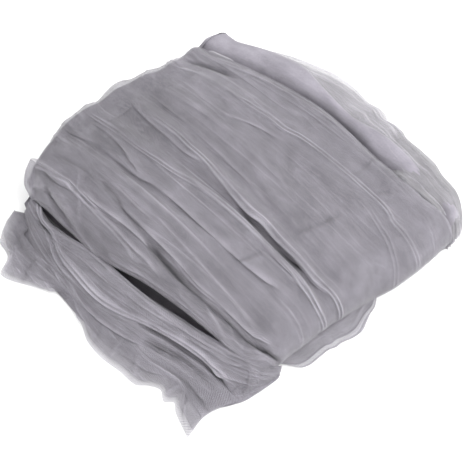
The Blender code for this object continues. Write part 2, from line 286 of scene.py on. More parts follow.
def gutter(x, y):
    """Depth of the shadowed gutter that the cover's right edge overhangs."""
    depth = curve_value(GUTTER_PLACES, GUTTER_DEPTH, x)
    from_edge = (y - station("cover_right", x) - GUTTER_OUTWARD) / GUTTER_WIDTH
    return depth * np.exp(-from_edge * from_edge)


def air_above(layer, x, y):
    """Air between a layer and the next, wide at the slot's mouth and at the gutter."""
    if layer == FIFTH:
        return AIR + gutter(x, y)
    if layer != THIRD:
        return AIR
    from_lip = y - station("lip", x)
    return SLOT_AIR + station("slot", x) * (1.0 - smooth(0.0, SLOT_REACH, from_lip))


def fold_lines(x):
    """Where each fold line crosses x, and its rise, with the cover's two edges."""
    lines = [(station("lip", x), np.zeros_like(x))]
    for places, rises in FOLDS:
        lines.append((curve_value(FOLD_STATIONS, places, x), curve_value(FOLD_STATIONS, rises, x)))
    lines.append((station("cover_right", x), np.zeros_like(x)))
    return lines


def fold_rise(x, y):
    """Height of the cover's folds at places."""
    lines = fold_lines(x)
    rise = np.zeros_like(y)
    for (y0, rise0), (y1, rise1) in zip(lines, lines[1:]):
        inside = (y > y0) & (y <= y1)
        rise = np.where(inside, rise0 + (rise1 - rise0) * smooth(y0, y1, y), rise)
    return rise


def stack(x, y):
    """Underside and top of every layer at places, in millimetres."""
    x, y = np.broadcast_arrays(np.asarray(x, float), np.asarray(y, float))
    levels = []
    z = np.zeros_like(x)
    sunk = np.zeros_like(x)
    sink = trench(x, y)
    for layer in LAYERS:
        thick, present = thickness(layer, x, y)
        if layer in (BASE, SECOND, THIRD):
            sunk = sunk + thick * sink
            thick = thick * (1.0 - sink)
        if layer == FOURTH:
            z = z + sunk
        top = z + thick
        if layer == COVER:
            top = top + fold_rise(x, y) * present
        if layer == FIFTH:
            top = top - np.minimum(gutter(x, y), GUTTER_LIMIT * thick)
        levels.append((z, top))
        z = top + air_above(layer, x, y) * present
    return levels


def turn_centre(y):
    """Where the turns at end B begin."""
    top = stack(np.full_like(y, BAND_END), y)[COVER][1]
    return end_value("end_b", y) - 0.5 * top


def fold_centre(y, lower, upper, inset):
    """Where a small fold at end A begins."""
    levels = stack(np.full_like(y, BAND_START), y)
    return end_value("end_a", y) + inset + 0.5 * (levels[upper][1] - levels[lower][0])


def layer_start(layer, y):
    """x at which a layer begins at end A."""
    if layer in FREE_END_INSET:
        inset = FREE_END_INSET[layer] + ripple(layer, y, END_RIPPLE_LENGTH)
        return end_value("end_a", y) + inset
    if layer in (COVER, FIFTH):
        return fold_centre(y, FIFTH, COVER, UPPER_FOLD_INSET)
    return fold_centre(y, SECOND, THIRD, LOWER_FOLD_INSET)


# Creases listed on the cover's outer face, by millimetres along the cloth from
# end A and y across it. A height below zero is a trough. Lean is how far a fold falls
# over to one side, in widths, and pair is the space between a double fold's two ridges.
# Columns: places, width, height, lean, pair.
COVER_CREASES = (
    (((60, 17), (108, 17), (137, 15), (164, 14), (197, 9), (228, 5), (255, 3), (276, 4), (300, 2),
      (333, 2), (367, 1), (392, 5), (440, 8)), 1.4, 2.7, -1.3, 4.2),
    (((240, -2), (285, -5), (330, -4), (352, -2)), 3.0, -4.8, 0.0, 0.0),
    (((20, 17), (72, 11), (100, 9), (138, 7), (172, 10)), 1.5, 2.2, -1.3, 0.0),
    (((-5, -30), (24, -29), (63, -28), (101, -28), (126, -25), (157, -22), (194, -16), (234, -14),
      (285, -13), (335, -13), (363, -16), (393, -18), (440, -13)), 1.4, 2.6, -0.8, 3.8),
    (((14, -37), (41, -35), (73, -36), (98, -40), (123, -45), (142, -46), (199, -43), (249, -43),
      (287, -41), (346, -33)), 2.6, 2.8, -1.5, 0.0),
    (((10, -76), (50, -72), (77, -70), (104, -67), (130, -66), (165, -64), (194, -60), (218, -53),
      (247, -49), (274, -44), (295, -41), (329, -37), (371, -31)), 5.0, 2.2, -0.3, 0.0),
    (((-13, -61), (21, -57), (56, -52), (93, -51), (128, -49), (152, -46)), 2.6, 2.0, -1.2, 0.0),
    (((-10, -108), (40, -110), (63, -107), (84, -108), (103, -108), (130, -109), (148, -109),
      (176, -110), (205, -112)), 1.4, 2.4, -0.9, 4.0),
    (((70, -104), (104, -102), (127, -99), (152, -97), (194, -97), (214, -98)), 1.7, 2.6, -1.3, 0.0),
    (((180, -96), (212, -98), (221, -99), (255, -100), (278, -99), (300, -97)), 3.4, -8.0, 0.0, 0.0),
    (((270, -99), (300, -96.5), (330, -93), (362, -90)), 1.7, -6.0, 0.0, 0.0),
    (((300, -98), (350, -91), (395, -82), (434, -72)), 2.0, -5.0, 0.0, 0.0),
    (((131, -86), (169, -87), (220, -88), (271, -90), (293, -87), (348, -81), (392, -74)),
     1.6, 2.2, -1.4, 0.0),
    (((322, -101), (370, -93), (425, -77)), 1.5, 1.8, 0.9, 3.2),
    (((10, -95), (59, -88), (87, -87), (135, -89), (190, -91)), 2.2, -1.5, 0.0, 0.0),
    (((-8, -103), (52, -112), (90, -106)), 1.8, 1.8, -1.0, 0.0),
    (((-10, 108), (15, 122), (44, 129), (80, 135)), 3.0, -3.6, 0.0, 0.0),
    (((-12, 94), (15, 103), (38, 108), (80, 111), (107, 111), (130, 114)), 2.2, 1.9, -1.2, 0.0),
    (((100, 110), (132, 112), (156, 114), (181, 113), (202, 117), (231, 119), (261, 120),
      (298, 121), (328, 121), (349, 114), (382, 110), (425, 110)), 1.4, 2.6, -0.9, 4.4),
    (((60, 82), (116, 82), (136, 90), (157, 96), (190, 99)), 1.8, 1.8, -1.2, 0.0),
    (((278, 102), (313, 105), (353, 95), (379, 86), (413, 79), (440, 80)), 1.1, 1.2, -0.8, 4.6),
    (((195, 100), (235, 71), (269, 51), (310, 36)), 8.0, -2.4, 0.0, 0.0),
    (((194, 54), (242, 40), (280, 34), (315, 30), (340, 30)), 7.0, 1.8, -0.3, 0.0),
    (((20, 60), (93, 65), (162, 64), (231, 60), (275, 50)), 4.0, 1.5, -0.8, 0.0),
    (((50, 44), (120, 40), (200, 34), (260, 24)), 2.4, 1.5, -1.0, 0.0),
    (((300, 165), (343, 163), (372, 165), (400, 168), (430, 170)), 2.0, 1.8, 0.8, 0.0),
    (((360, 148), (396, 141), (434, 138)), 1.1, 1.0, -0.8, 4.2),
    (((150, 140), (220, 146), (290, 150), (350, 150)), 3.0, 1.4, 0.7, 0.0),
    (((40, 143), (100, 153), (150, 160), (200, 164), (262, 160)), 1.2, 1.9, -0.8, 3.6),
    (((90, 146), (140, 150), (190, 153), (250, 152)), 1.1, 1.4, -0.8, 0.0),
    (((60, 150), (120, 158), (180, 165), (240, 165)), 1.4, -2.4, 0.0, 0.0),
    (((84, -106), (114, -103), (138, -100), (162, -98)), 1.3, 2.3, -1.2, 3.2),
    (((88, -110), (114, -109), (136, -108), (158, -108), (184, -108), (235, -109)), 1.3, 1.9, -1.0, 0.0),
    (((10, -113), (37, -115), (60, -114), (84, -106)), 1.8, -3.2, 0.0, 0.0),
    (((9, -118), (51, -127), (72, -130), (98, -131)), 1.3, 1.6, 0.8, 2.8),
    (((36, -121), (60, -126), (80, -128), (104, -130)), 1.8, -4.4, 0.0, 0.0),
    (((51, -119), (77, -122), (94, -125), (112, -127)), 1.2, 1.5, 0.8, 2.6),
    (((150, -125), (186, -121), (209, -117), (230, -114), (250, -111), (275, -108)), 1.4, 1.8, -0.7, 0.0),
    (((165, -118), (196, -114), (218, -111), (246, -108)), 1.2, 1.3, -0.8, 2.6),
    (((244, -109), (265, -107), (285, -105), (303, -102), (326, -101)), 1.1, 1.6, -0.6, 2.6),
    (((306, -102), (333, -98), (356, -95), (397, -88)), 1.2, 1.4, -0.9, 2.8),
    (((76, -77), (104, -76), (130, -75), (158, -75), (190, -75)), 2.2, 2.0, -1.1, 3.8),
    (((90, -85), (121, -85), (145, -89), (177, -93), (200, -96)), 1.5, -1.6, 0.0, 0.0),
)
CREASE_LEAD = 4.0
CREASE_FADE = 22.0
CREASE_POWER = 1.7
CREASE_SWAY = 0.22
SWAY_LENGTH = 19.0
SWAY_STEP = 2.3
# How strong the painted highlight on ridges and the painted shade in troughs are, by height and width,
# for creases, cross wrinkles and pleats.
TONE_HEIGHT = 4.2
TONE_WIDTH = 1.6
DEEP_WIDTH = 3.0
CROSS_TONE = 0.4
PLEAT_TONE = 1.7

# Soft wrinkles that cross the creases: y across and millimetres along the cloth.
# Columns: places, width, height.
CROSS_CREASES = (
    (((22, 300), (52, 307), (80, 304)), 1.8, -1.3),
    (((120, 275), (143, 278), (168, 281)), 1.6, -1.2),
    (((122, 308), (137, 313), (150, 325)), 1.6, -1.0),
    (((-50, 284), (-34, 296), (-18, 301)), 1.8, -1.3),
    (((-127, 111), (-116, 98), (-102, 74), (-88, 57)), 1.6, 1.8),
)
CROSS_LEAD = 2.0
CROSS_FADE = 9.0

# Soft hollows. Columns: place along, y, half length, half width, depth.
HOLLOWS = (
    (362.0, 17.0, 26.0, 10.0, 3.5),
    (318.0, -72.0, 34.0, 8.0, 3.0),
    (309.0, -3.0, 22.0, 5.0, 2.5),
    (66.0, 1.0, 34.0, 10.0, 2.2),
    (119.0, -57.0, 50.0, 5.0, 1.5),
    (250.0, 72.0, 60.0, 12.0, 1.8),
    (398.0, 60.0, 24.0, 16.0, 2.0),
    (190.0, -75.0, 50.0, 6.0, 1.6),
)


def stronger(first, second):
    """Whichever of two tones is farther from 0."""
    return np.where(np.abs(second) > np.abs(first), second, first)


def crease_field(creases, along, across):
    """Rise of the cloth, its sideways shift and its tone, from a list of creases."""
    rise = np.zeros_like(along)
    shift = np.zeros_like(along)
    tone = np.zeros_like(along)
    for number, (places, width, height, lean, pair) in enumerate(creases):
        start, stop = places[0][0], places[-1][0]
        middle = curve_value(*zip(*places), along)
        fade = smooth(start - CREASE_LEAD, start + CREASE_FADE, along)
        fade = fade * (1.0 - smooth(stop - CREASE_FADE, stop + CREASE_LEAD, along))
        sway = np.sin(along / SWAY_LENGTH + SWAY_STEP * number)
        fade = fade * (1.0 - CREASE_SWAY + CREASE_SWAY * sway)
        for side in ((-0.5, 0.5) if pair > 0.0 else (0.0,)):
            away = np.abs((across - middle - side * pair) / width)
            bell = fade * np.exp(-away ** CREASE_POWER)
            rise += height * bell
            shift += lean * width * bell
            # Ridges give a painted highlight in the tone and troughs give painted shade.
            broad = TONE_WIDTH if height > 0.0 else DEEP_WIDTH
            shade = bell * np.clip(height / TONE_HEIGHT, -1.0, 1.0) * min(1.0, broad / width)
            tone = stronger(tone, shade)
    return rise, shift, tone


def soft_field(along, across):
    """Rise and tone from the wrinkles that cross the creases, and from the soft hollows. The tone is
    painted shade along sunken wrinkles and a painted highlight along raised ones.
    """
    rise = np.zeros_like(along)
    tone = np.zeros_like(along)
    for places, width, height in CROSS_CREASES:
        start, stop = places[0][0], places[-1][0]
        middle = curve_value(*zip(*places), across)
        fade = smooth(start - CROSS_LEAD, start + CROSS_FADE, across)
        fade = fade * (1.0 - smooth(stop - CROSS_FADE, stop + CROSS_LEAD, across))
        bell = fade * np.exp(-((along - middle) / width) ** 2)
        rise += height * bell
        tone += CROSS_TONE * math.copysign(1.0, height) * bell
    for place, y, half_length, half_width, depth in HOLLOWS:
        u = ((along - place) / half_length) ** 2 + ((across - y) / half_width) ** 2
        rise -= depth * np.exp(-u)
    return rise, tone


# How the heart lies below the cover cloth, and the cloth's length over the top and
# round the outer turn.
HEART_DEPTH = 3.0
HEART_EDGE = 14.0
HEART_LEAST = 1.5
# Painted light on the heart's puffed side, and painted shade in its slot and in the front cloth's tuck.
PUFF_LIGHT = 0.9
SLOT_SHADE = 0.08
END_FOLD_LENGTH = 44.0
COVER_LENGTH = 356.0
TURN_LENGTH = 128.0

# Rows of points along each layer of the heart and round each turn, and columns across.
HEART_COLUMNS = 120
HEART_ROWS = {BASE: 50, SECOND: 36, THIRD: 36, FOURTH: 36, FIFTH: 44, COVER: 72}
OUTER_TURN_ROWS = 26
MIDDLE_TURN_ROWS = 16
INNER_TURN_ROWS = 10
SMALL_FOLD_ROWS = 10
FREE_END_TAPER = 0.35
FREE_END_STEP = 4.2
EDGE_CROWDING = 0.11


def across_cover(share, x):
    """y on the cover at shares of its width, along lines that follow its folds."""
    x = np.asarray(x, float)
    lines = np.array([y for y, _ in fold_lines(np.atleast_1d(x))])
    middle = np.array([y for y, _ in fold_lines(np.array([FOLD_STATIONS[1]]))])[:, 0]
    shares = (middle - middle[0]) / (middle[-1] - middle[0])
    rows = [np.interp(share, shares, lines[:, i]) for i in range(lines.shape[1])]
    return np.array(rows)


def edge_dense_shares(count):
    """Shares of a width that lie closer together near its two edges."""
    t = np.linspace(0.0, 1.0, count)
    return t - EDGE_CROWDING * np.sin(2.0 * math.pi * t)


EVEN_SHARES = edge_dense_shares(HEART_COLUMNS)


def layer_places(layer, x):
    """y of each column of points on a layer at one x."""
    if layer == COVER:
        return across_cover(np.linspace(0.0, 1.0, HEART_COLUMNS), x)[0]
    left = left_edge(layer, x)
    return left + (right_edge(layer, x) - left) * EVEN_SHARES


def sides(layer, levels):
    """The band's first and second face on a layer: which is up changes at each turn."""
    bottom, top = levels[layer]
    if layer in (BASE, FIFTH, THIRD):
        return bottom, top
    return top, bottom


def heart_inset(p, y, left, right):
    """How far the heart lies below the cover cloth, deeper under its troughs."""
    inside = smooth(0.0, HEART_EDGE, y - left) * smooth(0.0, HEART_EDGE, right - y)
    rise = crease_field(COVER_CREASES, p, y)[0]
    return inside * (HEART_DEPTH + np.maximum(-rise, 0.0))


def heart_row(layer, u, taper=1.0):
    """One row of points across a layer, at a share u of the way from end A to end B."""
    y = layer_places(layer, BAND_START + u * (BAND_END - BAND_START))
    start = layer_start(layer, y)
    x = start + u * (turn_centre(y) - start)
    level_x = x if u < 1.0 else np.full_like(y, BAND_END)
    levels = stack(level_x, y)
    if layer == COVER:
        bottom, top = levels[COVER]
        depth = heart_inset(np.full_like(y, u * COVER_LENGTH), y, y[0], y[-1])
        levels[COVER] = (bottom, top - np.minimum(depth, np.maximum(top - bottom - HEART_LEAST, 0.0)))
    first, second = sides(layer, levels)
    if taper < 1.0 and layer == BASE:
        second = second * taper
    elif taper < 1.0:
        first = second + (first - second) * taper
    return np.stack((x, y, first), 1), np.stack((x, y, second), 1)


def heart_rows(layer, to_end_b, free=False):
    """All rows along a layer, in the order in which the band runs."""
    shares = list(np.linspace(0.0, 1.0, HEART_ROWS[layer]))
    rows = []
    if free:
        rows.append(heart_row(layer, 0.0, FREE_END_TAPER))
        shares[0] = FREE_END_STEP / BAND_END
    rows.extend(heart_row(layer, u) for u in shares)
    if not to_end_b:
        rows.reverse()
    return rows


def outer_turn_left(share):
    """y of the outer turn's left edge, which draws in from the flap to the lip."""
    return curve_value(OUTER_TURN_SHARE, OUTER_TURN_LEFT, share)


def heart_turn_left(share):
    """The same edge on the heart, which keeps behind the front cloth."""
    return np.maximum(outer_turn_left(share), HEART_TURN_LEFT)


def toe_reach(share, y):
    """How far the toe lies out past the outer turn, on the turn's outer face."""
    low = 1.0 - smooth(0.0, TOE_SHARE, abs(share - TOE_SHARE))
    return low * curve_value(TOE_PLACES, TOE_REACH, y)


def turn_rows(start_layer, stop_layer, count, at_end_b):
    """Rows round a turn, as half ellipses in each slice of y."""
    x = BAND_END if at_end_b else BAND_START
    start_places = layer_places(start_layer, x)
    stop_places = layer_places(stop_layer, x)
    outward = 1.0 if at_end_b else -1.0
    rows = []
    for share in np.linspace(0.0, 1.0, count + 2)[1:-1]:
        y = start_places + (stop_places - start_places) * smooth(0.0, 1.0, share)
        if (start_layer, stop_layer) == (BASE, COVER):
            blend = smooth(*TURN_BLEND, share)
            left = heart_turn_left(share)
            right = start_places[-1] + (stop_places[-1] - start_places[-1]) * blend
            cover_share = (stop_places - stop_places[0]) / (stop_places[-1] - stop_places[0])
            y = left + (right - left) * (EVEN_SHARES + (cover_share - EVEN_SHARES) * blend)
        centre = turn_centre(y) if at_end_b else layer_start(start_layer, y)
        levels = stack(np.full_like(y, BAND_END) if at_end_b else centre, y)
        faces = []
        for z0, z1 in zip(sides(start_layer, levels), sides(stop_layer, levels)):
            angle = math.pi * share
            place = centre + outward * 0.5 * np.abs(z1 - z0) * math.sin(angle)
            height = 0.5 * (z0 + z1) + 0.5 * (z0 - z1) * math.cos(angle)
            if (start_layer, stop_layer) == (BASE, COVER) and not faces:
                p = np.full_like(y, COVER_LENGTH + TURN_LENGTH * (1.0 - share))
                depth = heart_inset(p, y, y[0], y[-1]) * smooth(*TURN_SINK, share)
                place = place + TOE_HEART * toe_reach(share, y) - depth * math.sin(angle)
                height = height + depth * math.cos(angle)
            faces.append(np.stack((place, y, height), 1))
        rows.append(tuple(faces))
    return rows


def band_rows():
    """Every row of the band, from its free end under the bundle to the one inside it."""
    rows = heart_rows(BASE, True, free=True)
    rows += turn_rows(BASE, COVER, OUTER_TURN_ROWS, True)
    rows += heart_rows(COVER, False)
    rows += turn_rows(COVER, FIFTH, SMALL_FOLD_ROWS, False)
    rows += heart_rows(FIFTH, True)
    rows += turn_rows(FIFTH, SECOND, MIDDLE_TURN_ROWS, True)
    rows += heart_rows(SECOND, False)
    rows += turn_rows(SECOND, THIRD, SMALL_FOLD_ROWS, False)
    rows += heart_rows(THIRD, True)
    rows += turn_rows(THIRD, FOURTH, INNER_TURN_ROWS, True)
    rows += heart_rows(FOURTH, False, free=True)
    return rows


# Pleats: soft or sharp leaning ridges that run along the band, start and fade out.
PLEAT_COLUMNS = ("x", "y", "slope", "bow", "half_length", "width", "height", "lean")
PLEAT_SLOPE = 0.045
PLEAT_BOW = 5.0


def random_pleats(seed, count, x_range, y_range, half_length, width, height, lean):
    """A table of pleats scattered over a region, each value within its range."""
    draw = np.random.default_rng(seed)
    rows = np.zeros((count, len(PLEAT_COLUMNS)))
    rows[:, 0] = draw.uniform(*x_range, count)
    rows[:, 1] = draw.uniform(*y_range, count)
    rows[:, 2] = draw.normal(0.0, PLEAT_SLOPE, count)
    rows[:, 3] = draw.normal(0.0, PLEAT_BOW, count)
    rows[:, 4] = draw.uniform(*half_length, count)
    rows[:, 5] = width[0] + (width[1] - width[0]) * draw.uniform(0.0, 1.0, count) ** 2
    rows[:, 6] = height[0] + (height[1] - height[0]) * draw.uniform(0.0, 1.0, count) ** 2
    rows[:, 7] = draw.uniform(*lean, count)
    return rows


def pleat_field(pleats, x, y):
    """Rise of the cloth, its sideways shift and its tone, a painted highlight along each pleat, from a
    table of pleats.
    """
    rise = np.zeros_like(x)
    shift = np.zeros_like(x)
    tone = np.zeros_like(x)
    for px, py, slope, bow, half_length, width, height, lean in pleats:
        along = (x - px) / half_length
        reach = np.clip(1.0 - along * along, 0.0, 1.0)
        across = (y - py - slope * (x - px) - bow * along * along) / width
        bell = np.exp(-across * across) * reach * reach
        rise += height * bell
        shift += lean * width * bell
        shade = PLEAT_TONE * bell * min(1.0, height / TONE_HEIGHT) * min(1.0, TONE_WIDTH / width)
        tone = stronger(tone, shade)
    return rise, shift, tone


def grid_normals(points):
    """Normals of a grid of points, from its rows and columns."""
    along = np.gradient(points, axis=0)
    across = np.gradient(points, axis=1)
    normals = np.cross(along, across)
    length = np.linalg.norm(normals, axis=2, keepdims=True)
    return normals / np.maximum(length, 1e-9)


def upward_normals(points):
    """The same, turned to face up at the grid's middle."""
    normals = grid_normals(points)
    rows, columns = points.shape[:2]
    up = normals[rows // 2, columns // 2, 2]
    return -normals if up < 0.0 else normals


def to_world(points):
    """From the tables' millimetres to metres about the origin."""
    return (points - np.array([CENTRE_X, CENTRE_Y, 0.0])) * MM


def mesh_object(name, points, faces, uv, material, tone):
    """A smooth mesh object of quads, with its cloth coordinates in millimetres.

    The tone is 1 on crests, where more plies lie and a painted highlight goes, and -1 deep in folds,
    where painted shade goes.
    """
    mesh = bpy.data.meshes.new(name)
    mesh.vertices.add(len(points))
    mesh.vertices.foreach_set("co", np.ascontiguousarray(to_world(points), np.float32).ravel())
    mesh.loops.add(faces.size)
    mesh.loops.foreach_set("vertex_index", np.ascontiguousarray(faces, np.int32).ravel())
    mesh.polygons.add(len(faces))
    mesh.polygons.foreach_set("loop_start", np.arange(0, faces.size, 4, dtype=np.int32))
    layer = mesh.uv_layers.new(name="cloth")
    layer.data.foreach_set("uv", np.ascontiguousarray(uv[faces.ravel()], np.float32).ravel())
    shade = mesh.attributes.new("tone", "FLOAT", "POINT")
    shade.data.foreach_set("value", np.ascontiguousarray(tone, np.float32).ravel())
    mesh.update()
    mesh.validate()
    mesh.shade_smooth()
    mesh.materials.append(material)
    piece = bpy.data.objects.new(name, mesh)
    bpy.context.scene.collection.objects.link(piece)
    return piece


def grid_faces(rows, columns):
    """Quads between the rows and columns of a grid."""
    index = np.arange(rows * columns).reshape(rows, columns)
    corners = (index[:-1, :-1], index[1:, :-1], index[1:, 1:], index[:-1, 1:])
    return np.stack(corners, axis=2).reshape(-1, 4)


def distances(points, axis):
    """Mean distance of each row or column of points from the first, along the cloth."""
    steps = np.linalg.norm(np.diff(points, axis=axis), axis=2).mean(axis=1 - axis)
    return np.concatenate(([0.0], np.cumsum(steps)))


FLOOR_CLEAR = 0.6


def sheet_object(name, points, material, tone):
    """An open sheet from a grid of points, kept clear of the floor."""
    points[:, :, 2] = np.maximum(points[:, :, 2], FLOOR_CLEAR)
    uv = np.stack(np.meshgrid(distances(points, 0), distances(points, 1), indexing="ij"), axis=2)
    faces = grid_faces(*points.shape[:2])
    return mesh_object(name, points.reshape(-1, 3), faces, uv.reshape(-1, 2), material, tone)


# Materials of the tulle.
THREAD_COLOUR = (0.274, 0.263, 0.292, 1.0)
# A lighter copy of the tulle's colour for the outer puff plies: painted light.
AIRY_LIT_COLOUR = (0.43, 0.418, 0.446, 1.0)
DEEP_COLOUR = (0.187, 0.177, 0.201, 1.0)
NET_PITCH = 1.6
THREAD_EDGES = (0.6, -0.8)
THREAD_RISE = 0.06
GLOW = 0.25
# Unevenness of the tint. Columns: scale, detail, stretch along the net, weight.
GRAIN = (
    (22.0, 2.0, 1.0, 0.35),
    (60.0, 3.0, 0.12, 0.3),
    (620.0, 2.0, 1.0, 0.3),
    (85.0, 4.0, 0.55, 0.5),
)
GRAIN_THREADS = 0.15
GRAIN_START = -0.3
GRAIN_LOW = 0.45
GRAIN_HIGH = 1.6
# Painted highlight on crests and painted shade in folds: how far the tone lightens and darkens the tint.
CREST_LIFT = 0.75
DEPTH_DROP = 0.85
# How the holes, the threads, the folds and the crests change what a sheer ply covers.
HOLE_SHARE = 1.25
THREAD_SHARE = 0.5
FOLD_DENSE = 0.8
CREST_DENSE = 0.4
# Thin fold lines of painted highlight, with painted shade beside them: the levels of the noise that they
# follow, with how light each is.
LINE_LEVELS = ((0.45, 1.0), (0.466, -0.6), (0.54, 1.0), (0.556, -0.6))
LINE_SHARP = 80.0
LINE_LIFT = 0.12
LINE_SCALE = 42.0
LINE_STRETCH = 0.11
LINE_PATCHES = 17.0
LINE_AMOUNT = 1.7


def new_material(name):
    """A material with no nodes yet."""
    material = bpy.data.materials.new(name)
    material.use_nodes = True
    material.node_tree.nodes.clear()
    return material


def add(material, kind, **values):
    """A new node, with plain values for its inputs."""
    made = material.node_tree.nodes.new(kind)
    for name, value in values.items():
        made.inputs[name.replace("_", " ")].default_value = value
    return made


def join(material, start, stop):
    """Link two sockets."""
    material.node_tree.links.new(start, stop)


def maths(material, operation, first, second=None, third=None):
    """A Math node whose inputs are sockets or numbers."""
    made = add(material, "ShaderNodeMath")
    made.operation = operation
    for place, value in enumerate((first, second, third)):
        if value is None:
            continue
        if isinstance(value, (int, float)):
            made.inputs[place].default_value = value
        else:
            join(material, value, made.inputs[place])
    return made.outputs[0]


def net_threads(material, pitch):
    """1 on the threads of a six-sided net and 0 in its holes, from the cloth coordinates."""
    cloth = add(material, "ShaderNodeUVMap")
    cloth.uv_map = "cloth"
    parts = add(material, "ShaderNodeSeparateXYZ")
    join(material, cloth.outputs[0], parts.inputs[0])
    scale = 4.0 * math.pi / (math.sqrt(3.0) * pitch)
    total = 0.0
    for turn in range(3):
        angle = turn * math.pi / 3.0
        u = maths(material, "MULTIPLY", parts.outputs[0], scale * math.cos(angle))
        phase = maths(material, "MULTIPLY_ADD", parts.outputs[1], scale * math.sin(angle), u)
        total = maths(material, "ADD", maths(material, "COSINE", phase), total)
    spread = add(
        material, "ShaderNodeMapRange", From_Min=THREAD_EDGES[0], From_Max=THREAD_EDGES[1]
    )
    spread.interpolation_type = "SMOOTHSTEP"
    join(material, total, spread.inputs["Value"])
    return spread.outputs["Result"]


def noise(material, scale, detail=2.0, stretch=1.0):
    """Soft noise fixed to the object, drawn out along the net where stretch is below 1."""
    place = add(material, "ShaderNodeTexCoord")
    mapping = add(material, "ShaderNodeMapping", Scale=(stretch, 1.0, 1.0))
    join(material, place.outputs["Object"], mapping.inputs["Vector"])
    made = add(material, "ShaderNodeTexNoise", Scale=scale, Detail=detail)
    join(material, mapping.outputs["Vector"], made.inputs["Vector"])
    return made.outputs["Fac"]


def painted_fold_lines(material):
    """Thin painted lines that wander along the cloth: painted highlight above 0 and painted shade below 0
    beside it.
    """
    wander = noise(material, LINE_SCALE, stretch=LINE_STRETCH)
    amount = maths(material, "MULTIPLY", noise(material, LINE_PATCHES), LINE_AMOUNT)
    total = 0.0
    for level, share in LINE_LEVELS:
        away = maths(material, "ABSOLUTE", maths(material, "SUBTRACT", wander, level))
        line = maths(material, "MULTIPLY_ADD", away, -LINE_SHARP, 1.0)
        line = maths(material, "MAXIMUM", line, 0.0)
        total = maths(material, "MULTIPLY_ADD", line, share, total)
    return maths(material, "MULTIPLY", total, amount)


def blend_colour(material, factor, low, high):
    """A colour between two, by a socket."""
    mix = add(material, "ShaderNodeMix")
    mix.data_type = "RGBA"
    join(material, factor, mix.inputs["Factor"])
    mix.inputs[6].default_value = low
    mix.inputs[7].default_value = high
    return mix.outputs[2]


def scaled(colour, factor):
    """A colour made lighter or darker."""
    return tuple(channel * factor for channel in colour[:3]) + (1.0,)


def tulle(name, colour, open_share):
    """Tulle of one or more plies. The open share is what its holes let through."""
    material = new_material(name)
    threads = net_threads(material, NET_PITCH)
    grain = maths(material, "MULTIPLY_ADD", threads, GRAIN_THREADS, GRAIN_START)
    for scale, detail, stretch, weight in GRAIN:
        part = noise(material, scale, detail, stretch)
        grain = maths(material, "MULTIPLY_ADD", part, weight, grain)
    plain = blend_colour(material, grain, scaled(colour, GRAIN_LOW), scaled(colour, GRAIN_HIGH))
    # The tone attribute paints a highlight on crests and shade in folds.
    shade = add(material, "ShaderNodeAttribute")
    shade.attribute_name = "tone"
    crest = maths(material, "MAXIMUM", shade.outputs["Fac"], 0.0)
    depth = maths(material, "MINIMUM", shade.outputs["Fac"], 0.0)
    lift = maths(material, "MULTIPLY_ADD", crest, CREST_LIFT, 1.0)
    lined = maths(material, "MULTIPLY_ADD", painted_fold_lines(material), LINE_LIFT, lift)
    level = maths(material, "MULTIPLY_ADD", depth, DEPTH_DROP, lined)
    tint = add(material, "ShaderNodeVectorMath")
    tint.operation = "SCALE"
    join(material, plain, tint.inputs[0])
    join(material, level, tint.inputs["Scale"])
    bump = add(material, "ShaderNodeBump", Strength=0.4, Distance=THREAD_RISE * MM)
    join(material, threads, bump.inputs["Height"])
    cloth = add(
        material, "ShaderNodeBsdfPrincipled", Roughness=0.85, Specular_IOR_Level=0.15,
        Sheen_Weight=0.35, Sheen_Roughness=0.45,
    )
    join(material, tint.outputs[0], cloth.inputs["Base Color"])
    join(material, bump.outputs["Normal"], cloth.inputs["Normal"])
    through = add(material, "ShaderNodeBsdfTranslucent")
    join(material, tint.outputs[0], through.inputs["Color"])
    final = add(material, "ShaderNodeMixShader", Fac=GLOW)
    join(material, cloth.outputs[0], final.inputs[1])
    join(material, through.outputs[0], final.inputs[2])
    if open_share > 0.0:
        body = final
        clear = add(material, "ShaderNodeBsdfTransparent")
        least = 1.0 - HOLE_SHARE * open_share
        woven = maths(material, "MULTIPLY_ADD", threads, THREAD_SHARE * open_share, least)
        folded = maths(material, "MULTIPLY_ADD", depth, -FOLD_DENSE, woven)
        creased = maths(material, "MULTIPLY_ADD", crest, CREST_DENSE, folded)
        final = add(material, "ShaderNodeMixShader")
        join(material, maths(material, "MINIMUM", creased, 1.0), final.inputs["Fac"])
        join(material, clear.outputs[0], final.inputs[1])
        join(material, body.outputs[0], final.inputs[2])
    output = add(material, "ShaderNodeOutputMaterial")
    join(material, final.outputs[0], output.inputs["Surface"])
    return material


dense = tulle("dense_tulle", DEEP_COLOUR, 0.0)
sheer = tulle("sheer_tulle", THREAD_COLOUR, 0.5)
# The outer puff plies use a lighter copy of the tulle, painted light, with a more open net.
airy_lit = tulle("airy_lit_tulle", AIRY_LIT_COLOUR, 0.57)


# Painted shade on the heart inside the slot: by distance from the lip, y, z and x. Then
# painted light where its puffed side turns light, by distance from the cover.
SLOT_INSIDE = (-6.0, 2.0)
SLOT_FAR = (150.0, 200.0)
SLOT_HIGH = (55.0, 66.0)
SLOT_END = (355.0, 372.0)
PUFF_LIT = (7.0, 22.0)
# Gutter depth at which the heart's painted shade in the gutter is full.
GUTTER_FULL = 20.0


